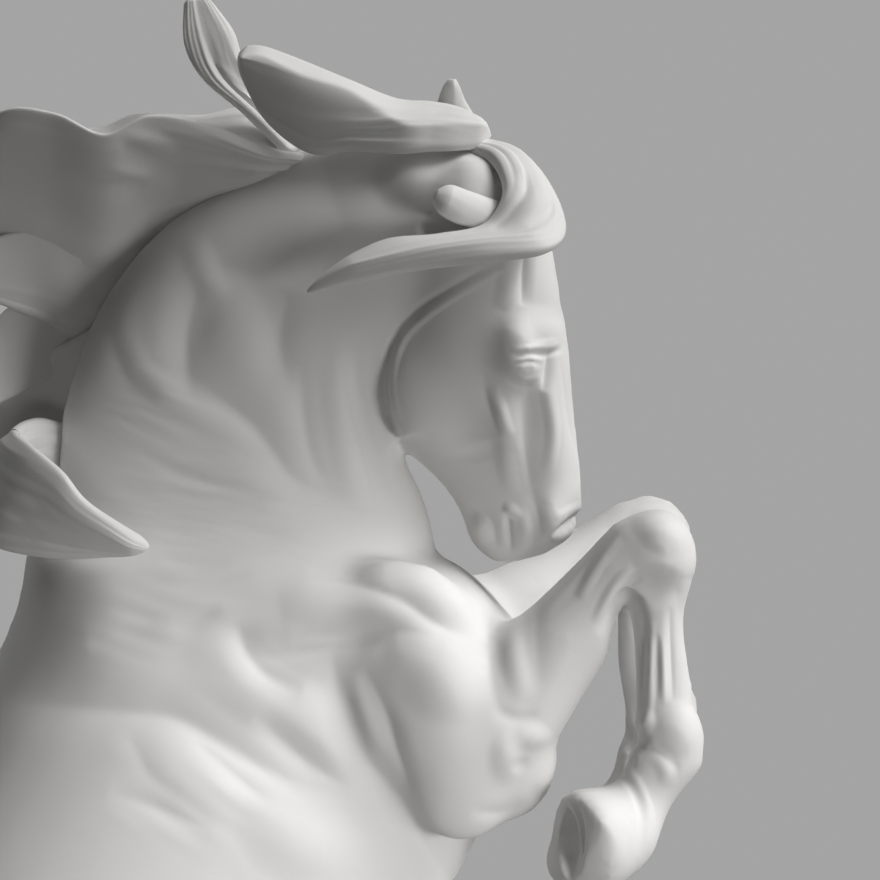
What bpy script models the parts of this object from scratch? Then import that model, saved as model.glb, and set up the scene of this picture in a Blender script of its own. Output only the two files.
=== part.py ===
"""Rearing horse figure in biscuit porcelain on a low oval ground.

The figure is cast in sections that are luted together with slip, so every casting is its own solid
and a thin slip film lies between neighbours. +Z is up and +X is the way the horse faces. The origin
is the middle of the flat underside that the figure stands on.
"""

import math
from collections.abc import Iterable, Sequence
from dataclasses import dataclass

import bmesh
import bpy
from mathutils import Matrix, Vector

# Slip film between two luted castings
FILM = 0.0003

# Corners closer than this are one corner
WELD = 0.000004

# Ground
GROUND_LENGTH = 0.236
GROUND_WIDTH = 0.112
GROUND_THICKNESS = 0.014
GROUND_ROUNDING = 0.004

# Hind legs, from the toe on the ground up to the hip; tilts are degrees up from +X
HIND_TOE_X = 0.040
HIND_STANCE = 0.022
HIND_PASTERN = 0.035
HIND_PASTERN_TILT = -50.0
HIND_CANNON = 0.0713
HIND_CANNON_TILT = -62.0
GASKIN = 0.0838
GASKIN_TILT = -135.0
THIGH = 0.0655
THIGH_TILT = -10.0
HOOF_LENGTH = 0.028
HOOF_WIDTH = 0.026
HOOF_HEIGHT = 0.014

# Trunk: pitch, and sections from buttock to breast as
# (distance forward of the hip, height of back, depth of belly, half width)
TRUNK_PITCH = 50.0
TRUNK_SECTIONS = (
    (-0.044, 0.016, 0.022, 0.012),
    (-0.027, 0.045, 0.034, 0.027),
    (0.027, 0.060, 0.034, 0.038),
    (0.059, 0.059, 0.042, 0.042),
    (0.102, 0.062, 0.054, 0.049),
    (0.145, 0.072, 0.059, 0.047),
    (0.172, 0.080, 0.056, 0.040),
    (0.199, 0.058, 0.047, 0.035),
    (0.216, 0.022, 0.038, 0.029),
    (0.226, -0.003, 0.026, 0.016),
)

# Neck: an arch from the shoulders to the poll, leaning to the right side as it rises
NECK_ROOT = (0.190, 0.028)
NECK_SPAN = 0.1040
NECK_SPAN_TILT = 62.5
NECK_ROOT_TILT = 104.0
NECK_ROOT_HANDLE = 0.055
NECK_POLL_TILT = 14.0
NECK_POLL_HANDLE = 0.046
NECK_LEAN = 0.018
NECK_HALF_DEPTHS = (0.047, 0.0455, 0.0445, 0.0405, 0.0350, 0.0295, 0.0245, 0.0185)
WITHERS_SEAM_TILT = 83.0
THROAT_SEAM_TILT = 15.0
NECK_HALF_WIDTHS = (0.027, 0.024, 0.021, 0.0185, 0.0165, 0.015, 0.014, 0.0125)

# Head: tilt of its long axis, turn and lean towards the right side, and sections from poll to lips as
# (share of the length, front, back, half width)
HEAD_LENGTH = 0.1025
HEAD_TILT = -82.5
HEAD_TURN = 12.0
HEAD_LEAN = 12.0
HEAD_SECTIONS = (
    (0.000, 0.0040, 0.0060, 0.0080),
    (0.085, 0.0125, 0.0150, 0.0135),
    (0.185, 0.0160, 0.0193, 0.0160),
    (0.270, 0.0165, 0.0205, 0.0178),
    (0.370, 0.0165, 0.0254, 0.0180),
    (0.470, 0.0158, 0.0295, 0.0172),
    (0.570, 0.0156, 0.0318, 0.0155),
    (0.665, 0.0154, 0.0305, 0.0135),
    (0.730, 0.0153, 0.0255, 0.0120),
    (0.815, 0.0145, 0.0200, 0.0110),
    (0.890, 0.0134, 0.0172, 0.0112),
    (0.950, 0.0112, 0.0163, 0.0105),
    (1.000, 0.0030, 0.0110, 0.0070),
)

# Fore legs: elbows in the trunk's frame (forward, up, outward), then each bone's length, tilt and splay
RIGHT_ELBOW = (0.196, -0.036, 0.025)
RIGHT_FOREARM = (0.0662, 48.5, 4.0)
RIGHT_CANNON = (0.0505, -84.0, 0.0)
RIGHT_PASTERN = (0.0210, -119.0, 4.0)
RIGHT_HOOF = (-162.0, 30.0)
LEFT_ELBOW = (0.195, -0.017, 0.022)
LEFT_FOREARM = (0.0740, 31.0, 16.0)
LEFT_CANNON = (0.0490, -84.0, 0.0)
LEFT_PASTERN = (0.0210, -116.0, 0.0)
LEFT_HOOF = (-132.0, 0.0)

# Where the seams lie along the forearm, the fore cannon and the gaskin, as shares of each bone
FOREARM_SEAM = 0.54
SHANK_SEAM = 0.58
GASKIN_SEAM = 0.72

# Ears in the head's frame (along, front, right) and their profile as (share of length, half width)
RIGHT_EAR_BASE = (0.0161, 0.0097, 0.0163)
RIGHT_EAR_TIP = (0.0019, -0.0048, 0.0255)
LEFT_EAR_BASE = (0.0057, -0.0014, -0.0070)
LEFT_EAR_TIP = (-0.0170, -0.0044, -0.0156)
EAR_PROFILE = ((0.0, 0.0042), (0.15, 0.0056), (0.4, 0.0062), (0.7, 0.0044), (0.9, 0.0020), (1.0, 0.0006))
EAR_HOLLOW = 0.75

# Tail dock in the trunk's frame
TAIL_DOCK = (-0.036, 0.038)

# Unevenness of the ground's edge, as a share of its size
GROUND_RIPPLE = 0.012

# Clay model of the body before it is cut into castings
CLAY_GRAIN = 0.0011
CLAY_FACES = 7600


@dataclass(frozen=True)
class Station:
    """One oval cross-section: its middle and its two half axes."""

    middle: Vector
    depth: Vector
    width: Vector


@dataclass(frozen=True)
class Seam:
    """A flat cut through one limb of the clay model, near the given middle."""

    middle: Vector
    normal: Vector


@dataclass(frozen=True)
class Lock:
    """A lock of hair: root, upper and lower edge as steps from the root, and half thickness."""

    name: str
    root: Vector
    upper: Sequence[Sequence[float]]
    lower: Sequence[Sequence[float]]
    thickness: float


def heading(tilt: float, length: float = 1.0, splay: float = 0.0) -> Vector:
    """Return a vector tilted up from +X in the upright plane and splayed towards +Y, in degrees."""
    flat = math.cos(math.radians(splay)) * length
    return Vector((
        math.cos(math.radians(tilt)) * flat,
        math.sin(math.radians(splay)) * length,
        math.sin(math.radians(tilt)) * flat,
    ))


HIND_TOE = Vector((HIND_TOE_X, 0.0, GROUND_THICKNESS + FILM))
HIND_FETLOCK = HIND_TOE - heading(HIND_PASTERN_TILT, HIND_PASTERN)
HOCK = HIND_FETLOCK - heading(HIND_CANNON_TILT, HIND_CANNON)
STIFLE = HOCK - heading(GASKIN_TILT, GASKIN)
HIP = STIFLE - heading(THIGH_TILT, THIGH)


def trunk(forward: float, up: float, out: float = 0.0) -> Vector:
    """Return a point given in the trunk's frame, from the hip."""
    return HIP + heading(TRUNK_PITCH, forward) + heading(TRUNK_PITCH + 90.0, up) + Vector((0.0, out, 0.0))


def neck_points() -> tuple[Vector, Vector, Vector, Vector]:
    """Return the four control points of the neck's arch."""
    root = trunk(*NECK_ROOT)
    lean = Vector((0.0, -NECK_LEAN, 0.0))
    poll = root + heading(NECK_SPAN_TILT, NECK_SPAN) + lean
    return (
        root,
        root + heading(NECK_ROOT_TILT, NECK_ROOT_HANDLE),
        poll - heading(NECK_POLL_TILT, NECK_POLL_HANDLE) - lean * 0.25,
        poll,
    )


def neck_at(share: float) -> tuple[Vector, Vector]:
    """Return the neck's middle and its direction at a share of the arch."""
    a, b, c, d = neck_points()
    rest = 1.0 - share
    middle = a * rest**3 + b * (3 * rest**2 * share) + c * (3 * rest * share**2) + d * share**3
    along = (b - a) * rest**2 + (c - b) * (2 * rest * share) + (d - c) * share**2
    return middle, along.normalized()


def spread(values: Sequence[float], share: float) -> float:
    """Return the value at a share of the way through an even table."""
    place = share * (len(values) - 1)
    low = min(int(place), len(values) - 2)
    return values[low] + (values[low + 1] - values[low]) * (place - low)


def upright(along: Vector) -> Vector:
    """Return the direction square to a path that points up in the upright plane."""
    return Vector((-along.z, 0.0, along.x)).normalized()


def crest(share: float) -> Vector:
    """Return the point on the top line of the neck at a share of the arch."""
    middle, along = neck_at(share)
    return middle + upright(along) * spread(NECK_HALF_DEPTHS, share)


POLL = neck_points()[3]
HEAD_TURNED = (
    Matrix.Rotation(math.radians(-HEAD_TURN), 3, "Z") @ Matrix.Rotation(math.radians(HEAD_LEAN), 3, "X")
)
HEAD_ALONG = HEAD_TURNED @ heading(HEAD_TILT)
HEAD_FRONT = HEAD_TURNED @ heading(HEAD_TILT + 90.0)
HEAD_RIGHT = HEAD_ALONG.cross(HEAD_FRONT)
HEAD_RISE = 0.016


def head(along: float, front: float, right: float) -> Vector:
    """Return a point given in the head's frame, from the top of the poll."""
    top = POLL - HEAD_ALONG * HEAD_RISE + HEAD_FRONT * 0.008
    return top + HEAD_ALONG * along + HEAD_FRONT * front + HEAD_RIGHT * right


def blend(a: Vector, b: Vector, c: Vector, d: Vector, t: float) -> Vector:
    """Return the point at t between b and c on a smooth curve through four points."""
    return 0.5 * (
        2.0 * b + (c - a) * t + (2.0 * a - 5.0 * b + 4.0 * c - d) * t**2 + (3.0 * b - a - 3.0 * c + d) * t**3
    )


def flow(points: Sequence[Vector], steps: int) -> list[Vector]:
    """Return points on a smooth curve through the given ones, with steps to each span."""
    padded = [points[0] * 2 - points[1], *points, points[-1] * 2 - points[-2]]
    curve = [
        blend(*padded[i:i + 4], step / steps)
        for i in range(len(points) - 1)
        for step in range(steps)
    ]
    return [*curve, points[-1].copy()]


def loft(bm: bmesh.types.BMesh, stations: Sequence[Station], steps: int, ring: int) -> None:
    """Add a closed smooth skin through the stations."""
    middles = flow([s.middle for s in stations], steps)
    depths = flow([s.depth for s in stations], steps)
    widths = flow([s.width for s in stations], steps)
    angles = [2.0 * math.pi * i / ring for i in range(ring)]
    rings = [
        [bm.verts.new(m + d * math.cos(a) + w * math.sin(a)) for a in angles]
        for m, d, w in zip(middles, depths, widths)
    ]
    skin = []
    for low, high in zip(rings, rings[1:]):
        for i in range(ring):
            j = (i + 1) % ring
            skin.append(bm.faces.new((low[i], low[j], high[j], high[i])))
    skin.append(bm.faces.new(rings[0][::-1]))
    skin.append(bm.faces.new(rings[-1]))
    bmesh.ops.recalc_face_normals(bm, faces=skin)


def egg(bm: bmesh.types.BMesh, start: Vector, end: Vector, depth: float, out: float) -> None:
    """Add a muscle: an egg reaching from start to end, with half depth in the upright plane."""
    along = (end - start) / 2.0
    side = Vector((0.0, 1.0, 0.0))
    side = (side - along.normalized() * side.dot(along.normalized())).normalized()
    across = along.normalized().cross(side)
    place = Matrix.Translation((start + end) / 2.0) @ Matrix((
        (along.x, across.x * depth, side.x * out, 0.0),
        (along.y, across.y * depth, side.y * out, 0.0),
        (along.z, across.z * depth, side.z * out, 0.0),
        (0.0, 0.0, 0.0, 1.0),
    ))
    made = bmesh.ops.create_icosphere(bm, subdivisions=3, radius=1.0, matrix=place)
    faces = {f for v in made["verts"] for f in v.link_faces}
    bmesh.ops.recalc_face_normals(bm, faces=list(faces))


def limb(bm: bmesh.types.BMesh, path: Sequence[tuple[Vector, float, float]]) -> None:
    """Add a limb through (middle, half depth, half width) entries, depth lying in the upright plane."""
    stations = []
    for i, (middle, depth, width) in enumerate(path):
        before = path[max(i - 1, 0)][0]
        after = path[min(i + 1, len(path) - 1)][0]
        along = (after - before).normalized()
        across = upright(along)
        side = across.cross(along).normalized()
        stations.append(Station(middle, across * depth, side * width))
    loft(bm, stations, 4, 20)


def add_trunk(bm: bmesh.types.BMesh) -> None:
    """Add the barrel, the quarters and the muscles of the shoulder."""
    up = heading(TRUNK_PITCH + 90.0)
    stations = [
        Station(trunk(u, (top - belly) / 2.0), up * ((top + belly) / 2.0), Vector((0.0, width, 0.0)))
        for u, top, belly, width in TRUNK_SECTIONS
    ]
    loft(bm, stations, 5, 32)
    for side in (-1.0, 1.0):
        egg(bm, trunk(0.158, 0.052, side * 0.022), trunk(0.212, -0.018, side * 0.029), 0.020, 0.012)
        egg(bm, trunk(0.216, 0.012, side * 0.028), trunk(0.180, -0.053, side * 0.028), 0.021, 0.014)
        egg(bm, trunk(0.223, -0.008, side * 0.015), trunk(0.197, -0.046, side * 0.019), 0.012, 0.014)
        egg(bm, trunk(-0.036, 0.030, side * 0.016), trunk(0.060, 0.030, side * 0.020), 0.024, 0.017)
        egg(bm, trunk(-0.042, 0.012, side * 0.014), trunk(0.010, -0.052, side * 0.024), 0.019, 0.014)
        egg(bm, trunk(0.000, 0.018, side * 0.022), trunk(0.040, -0.060, side * 0.026), 0.024, 0.013)


def add_neck(bm: bmesh.types.BMesh) -> None:
    """Add the arched neck, narrowing towards the poll, with the fleshy crest behind the ears."""
    stations = []
    count = len(NECK_HALF_DEPTHS)
    for i in range(count):
        middle, along = neck_at(i / (count - 1))
        upward = upright(along)
        side = upward.cross(along).normalized()
        stations.append(Station(middle, upward * NECK_HALF_DEPTHS[i], side * NECK_HALF_WIDTHS[i]))
    loft(bm, stations, 4, 28)
    egg(bm, crest(0.72), crest(1.0) + Vector((0.010, 0.0, 0.001)), 0.0062, 0.009)


def add_head(bm: bmesh.types.BMesh) -> None:
    """Add the skull with its cheeks, brows, nostrils and chin."""
    stations = [
        Station(
            head(share * HEAD_LENGTH, (front - back) / 2.0, 0.0),
            HEAD_FRONT * ((front + back) / 2.0),
            HEAD_RIGHT * width,
        )
        for share, front, back, width in HEAD_SECTIONS
    ]
    loft(bm, stations, 3, 28)
    for side in (-1.0, 1.0):
        egg(bm, head(0.038, -0.013, side * 0.011), head(0.074, -0.016, side * 0.009), 0.0140, 0.0065)
        egg(bm, head(0.040, 0.006, side * 0.0150), head(0.056, 0.007, side * 0.0145), 0.0050, 0.0045)
        egg(bm, head(0.054, 0.000, side * 0.0145), head(0.082, 0.003, side * 0.0100), 0.0028, 0.0028)
        egg(bm, head(0.086, 0.008, side * 0.0080), head(0.099, 0.004, side * 0.0090), 0.0045, 0.0040)
    egg(bm, head(0.092, -0.010, 0.0), head(0.104, -0.007, 0.0), 0.0060, 0.0075)


def add_hind_leg(bm: bmesh.types.BMesh, side: float) -> None:
    """Add a hind leg from the hip to the hoof."""
    def at(point: Vector, out: float) -> Vector:
        return point + Vector((0.0, side * out, 0.0))

    def between(a: Vector, b: Vector, share: float) -> Vector:
        return a + (b - a) * share

    limb(bm, (
        (at(HIP, 0.018), 0.034, 0.014),
        (at(between(HIP, STIFLE, 0.5), 0.023), 0.029, 0.015),
        (at(STIFLE, 0.024), 0.017, 0.013),
    ))
    limb(bm, (
        (at(between(STIFLE, HOCK, -0.04), 0.024), 0.014, 0.012),
        (at(between(STIFLE, HOCK, 0.30), 0.024), 0.0185, 0.0125),
        (at(between(STIFLE, HOCK, 0.62), 0.022), 0.0125, 0.0095),
        (at(between(STIFLE, HOCK, 0.85), HIND_STANCE), 0.0092, 0.0075),
        (at(HOCK, HIND_STANCE), 0.0098, 0.0085),
    ))
    sole = Vector((HIND_TOE.x - HOOF_LENGTH / 2.0, 0.0, HIND_TOE.z))
    coronet = between(HIND_FETLOCK, HIND_TOE, 0.50)
    limb(bm, (
        (at(between(HOCK, HIND_FETLOCK, -0.13), HIND_STANCE), 0.0090, 0.0085),
        (at(between(HOCK, HIND_FETLOCK, 0.10), HIND_STANCE), 0.0105, 0.0085),
        (at(between(HOCK, HIND_FETLOCK, 0.35), HIND_STANCE), 0.0080, 0.0066),
        (at(between(HOCK, HIND_FETLOCK, 0.80), HIND_STANCE), 0.0075, 0.0064),
        (at(HIND_FETLOCK, HIND_STANCE), 0.0094, 0.0080),
        (at(between(HIND_FETLOCK, HIND_TOE, 0.28), HIND_STANCE), 0.0078, 0.0072),
        (at(coronet, HIND_STANCE), 0.0100, 0.0098),
    ))
    foot = Vector((HOOF_LENGTH / 2.0, 0.0, 0.0))
    broad = Vector((0.0, HOOF_WIDTH / 2.0, 0.0))
    crown = sole + Vector((-0.0035, 0.0, HOOF_HEIGHT))
    loft(bm, (
        Station(at(crown, HIND_STANCE), foot * 0.74, broad * 0.80),
        Station(at(sole, HIND_STANCE), foot, broad),
        Station(at(sole - Vector((0.0, 0.0, 0.006)), HIND_STANCE), foot * 1.02, broad * 1.02),
    ), 3, 24)
    egg(bm, at(HOCK + heading(GASKIN_TILT, 0.004), HIND_STANCE),
        at(HOCK + heading(GASKIN_TILT - 35.0, 0.016), HIND_STANCE), 0.0055, 0.0060)


@dataclass(frozen=True)
class ForeLeg:
    """Joint places of one raised fore leg."""

    elbow: Vector
    knee: Vector
    fetlock: Vector
    coronet: Vector
    hoof_along: Vector


def fore_leg(
    side: float, elbow: Sequence[float], bones: Sequence[Sequence[float]], hoof: Sequence[float]
) -> ForeLeg:
    """Return the joints of a fore leg from its elbow, bones and the hoof's tilt and splay."""
    at_elbow = trunk(elbow[0], elbow[1], side * elbow[2])
    joints = [at_elbow]
    for length, tilt, splay in bones:
        joints.append(joints[-1] + heading(tilt, length, side * splay))
    return ForeLeg(*joints, heading(hoof[0], 1.0, side * hoof[1]))


RIGHT_FORE = fore_leg(-1.0, RIGHT_ELBOW, (RIGHT_FOREARM, RIGHT_CANNON, RIGHT_PASTERN), RIGHT_HOOF)
LEFT_FORE = fore_leg(1.0, LEFT_ELBOW, (LEFT_FOREARM, LEFT_CANNON, LEFT_PASTERN), LEFT_HOOF)


def add_fore_leg(bm: bmesh.types.BMesh, leg: ForeLeg) -> None:
    """Add a raised fore leg from the elbow to the hoof."""
    def between(a: Vector, b: Vector, share: float) -> Vector:
        return a + (b - a) * share

    limb(bm, (
        (between(leg.elbow, leg.knee, -0.15), 0.0195, 0.0130),
        (between(leg.elbow, leg.knee, 0.15), 0.0168, 0.0150),
        (between(leg.elbow, leg.knee, 0.45), 0.0128, 0.0130),
        (between(leg.elbow, leg.knee, 0.75), 0.0102, 0.0105),
        (leg.knee, 0.0104, 0.0100),
    ))
    elbow_low = leg.elbow + Vector((0.007, 0.0, -0.018))
    elbow_high = leg.elbow + Vector((0.019, 0.0, 0.002))
    egg(bm, elbow_low, elbow_high, 0.0078, 0.0085)
    knee_high = leg.knee + Vector((-0.0055, 0.0, 0.0072))
    knee_low = leg.knee + Vector((0.0082, 0.0, -0.0122))
    egg(bm, knee_high, knee_low, 0.0113, 0.0108)
    limb(bm, (
        (between(leg.knee, leg.fetlock, -0.04), 0.0080, 0.0085),
        (between(leg.knee, leg.fetlock, 0.12), 0.0098, 0.0098),
        (between(leg.knee, leg.fetlock, 0.34), 0.0071, 0.0072),
        (between(leg.knee, leg.fetlock, 0.60), 0.0066, 0.0062),
        (between(leg.knee, leg.fetlock, 0.82), 0.0076, 0.0066),
        (leg.fetlock, 0.0096, 0.0082),
        (between(leg.fetlock, leg.coronet, 0.55), 0.0074, 0.0072),
        (leg.coronet, 0.0090, 0.0092),
    ))
    across = upright(leg.hoof_along)
    broad = across.cross(leg.hoof_along)
    loft(bm, (
        Station(leg.coronet - leg.hoof_along * 0.003, across * 0.0095, broad * 0.0095),
        Station(leg.coronet + leg.hoof_along * 0.002, across * 0.0114, broad * 0.0112),
        Station(leg.coronet + leg.hoof_along * HOOF_HEIGHT,
                across * (HOOF_LENGTH / 2.0), broad * (HOOF_WIDTH / 2.0)),
    ), 3, 24)


def shaped(name: str, bm: bmesh.types.BMesh, modifiers: Iterable[tuple[str, dict]]) -> bpy.types.Mesh:
    """Return the mesh that a working body becomes under the given modifiers."""
    mesh = bpy.data.meshes.new(name)
    bm.to_mesh(mesh)
    bm.free()
    body = bpy.data.objects.new(name, mesh)
    bpy.context.scene.collection.objects.link(body)
    for kind, settings in modifiers:
        modifier = body.modifiers.new(kind.title(), kind)
        for key, value in settings.items():
            setattr(modifier, key, value)
    graph = bpy.context.evaluated_depsgraph_get()
    result = bpy.data.meshes.new_from_object(body.evaluated_get(graph))
    bpy.data.objects.remove(body)
    return result


def clay_model() -> bmesh.types.BMesh:
    """Return the whole body as one skin."""
    bm = bmesh.new()
    add_trunk(bm)
    add_neck(bm)
    add_head(bm)
    for side in (-1.0, 1.0):
        add_hind_leg(bm, side)
    add_fore_leg(bm, RIGHT_FORE)
    add_fore_leg(bm, LEFT_FORE)
    skin = shaped("Clay", bm, (
        ("REMESH", {"mode": "VOXEL", "voxel_size": CLAY_GRAIN}),
        ("SMOOTH", {"factor": 0.5, "iterations": 8}),
    ))
    whole = bmesh.new()
    whole.from_mesh(skin)
    fine = copied(whole, max(islands(whole), key=len))
    whole.free()
    count = sum(len(f.verts) - 2 for f in fine.faces)
    reduced = shaped("Reduced", fine, (("DECIMATE", {"ratio": CLAY_FACES / count}),))
    body = bmesh.new()
    body.from_mesh(reduced)
    bmesh.ops.triangulate(body, faces=body.faces)
    return body


def ring_at(bm: bmesh.types.BMesh, seam: Seam) -> set:
    """Return the closed ring of faces where the seam's plane meets the limb nearest its middle."""
    def height(corner: bmesh.types.BMVert) -> float:
        return (corner.co - seam.middle).dot(seam.normal)

    crossing = {f for f in bm.faces if min(map(height, f.verts)) <= 0.0 <= max(map(height, f.verts))}
    rings = []
    while crossing:
        ring = {crossing.pop()}
        edge = list(ring)
        while edge:
            face = edge.pop()
            for link in face.edges:
                for other in link.link_faces:
                    if other in crossing:
                        crossing.remove(other)
                        ring.add(other)
                        edge.append(other)
        rings.append(ring)

    def away(ring: set) -> float:
        centres = [f.calc_center_median() for f in ring]
        return (sum(centres, Vector()) / len(centres) - seam.middle).length

    return min(rings, key=away)


def part_at(bm: bmesh.types.BMesh, seam: Seam) -> None:
    """Cut the clay at a seam, close both sides and draw them apart by the slip film."""
    normal = seam.normal.normalized()
    faces = ring_at(bm, seam)
    edges = {e for f in faces for e in f.edges}
    verts = {v for f in faces for v in f.verts}
    cut = bmesh.ops.bisect_plane(
        bm, geom=[*verts, *edges, *faces], dist=1e-6, plane_co=seam.middle, plane_no=normal
    )
    line = [e for e in cut["geom_cut"] if isinstance(e, bmesh.types.BMEdge)]
    bmesh.ops.split_edges(bm, edges=line)
    rims = [e for e in bm.edges if e.is_boundary]
    corners = {v for e in rims for v in e.verts}
    for corner in corners:
        faces_by = [(f.calc_center_median() - seam.middle).dot(normal) for f in corner.link_faces]
        corner.co += normal * math.copysign(FILM / 2.0, sum(faces_by))
    caps = bmesh.ops.holes_fill(bm, edges=rims, sides=0)["faces"]
    bmesh.ops.triangulate(bm, faces=caps)


def islands(bm: bmesh.types.BMesh) -> list[set]:
    """Return the separate bodies of a mesh as sets of corners."""
    left = set(bm.verts)
    found = []
    while left:
        first = next(v for v in bm.verts if v in left)
        body = {first}
        edge = [first]
        while edge:
            corner = edge.pop()
            for link in corner.link_edges:
                other = link.other_vert(corner)
                if other not in body:
                    body.add(other)
                    edge.append(other)
        left -= body
        found.append(body)
    return found


def copied(bm: bmesh.types.BMesh, body: set) -> bmesh.types.BMesh:
    """Return one body of a mesh as a mesh of its own."""
    alone = bmesh.new()
    twins = {v: alone.verts.new(v.co) for v in bm.verts if v in body}
    for face in bm.faces:
        if face.verts[0] in body:
            alone.faces.new([twins[v] for v in face.verts])
    return alone


def seams() -> list[Seam]:
    """Return the seams between the castings of the body."""
    cuts = [
        Seam(neck_at(0.17)[0], heading(WITHERS_SEAM_TILT)),
        Seam(neck_at(0.70)[0], heading(THROAT_SEAM_TILT)),
    ]
    for leg in (RIGHT_FORE, LEFT_FORE):
        forearm = leg.knee - leg.elbow
        cannon = leg.fetlock - leg.knee
        cuts.append(Seam(leg.elbow + forearm * FOREARM_SEAM, forearm.normalized()))
        cuts.append(Seam(leg.knee + cannon * SHANK_SEAM, cannon.normalized()))
    for side in (-1.0, 1.0):
        out = Vector((0.0, side * HIND_STANCE, 0.0))
        cuts.append(Seam(STIFLE + (HOCK - STIFLE) * GASKIN_SEAM + out, (HOCK - STIFLE).normalized()))
    return cuts


def body_castings(body: bmesh.types.BMesh) -> dict[str, bmesh.types.BMesh]:
    """Return the castings that the clay model is parted into, by name."""
    for seam in seams():
        part_at(body, seam)
    lowest = bmesh.ops.bisect_plane(
        body, geom=[*body.verts, *body.edges, *body.faces], dist=1e-7,
        plane_co=HIND_TOE, plane_no=(0.0, 0.0, 1.0), clear_inner=True,
    )
    rims = [e for e in lowest["geom_cut"] if isinstance(e, bmesh.types.BMEdge) and e.is_boundary]
    bmesh.ops.holes_fill(body, edges=rims, sides=0)
    bmesh.ops.triangulate(body, faces=[f for f in body.faces if len(f.verts) > 3])
    side = Vector((0.0, HIND_STANCE, 0.0))
    markers = {
        "torso": trunk(0.100, 0.046),
        "neck": crest(0.55),
        "head": head(0.060, 0.014, 0.0),
        "right_forearm": RIGHT_FORE.knee,
        "right_fore_shank": RIGHT_FORE.fetlock,
        "left_forearm": LEFT_FORE.knee,
        "left_fore_shank": LEFT_FORE.fetlock,
        "right_hind_shank": HIND_FETLOCK - side,
        "left_hind_shank": HIND_FETLOCK + side,
    }
    bodies = islands(body)
    castings = {}
    for name, marker in markers.items():
        closest = min(bodies, key=lambda group: min((v.co - marker).length for v in group))
        castings[name] = copied(body, closest)
    if len(bodies) != len(markers):
        raise ValueError(f"the clay fell into {len(bodies)} pieces, not {len(markers)}")
    body.free()
    return castings


def ribbon(
    path: Sequence[Sequence[float]], half_widths: Sequence[float]
) -> tuple[list[Vector], list[Vector]]:
    """Return the two edges of a ribbon along a path, square to it in the upright plane."""
    points = [Vector(point) for point in path]
    last = len(points) - 1
    upper = []
    lower = []
    for i, point in enumerate(points):
        along = points[min(i + 1, last)] - points[max(i - 1, 0)]
        across = upright(along) * half_widths[i]
        upper.append(point + across)
        lower.append(point - across)
    return upper, lower


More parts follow.
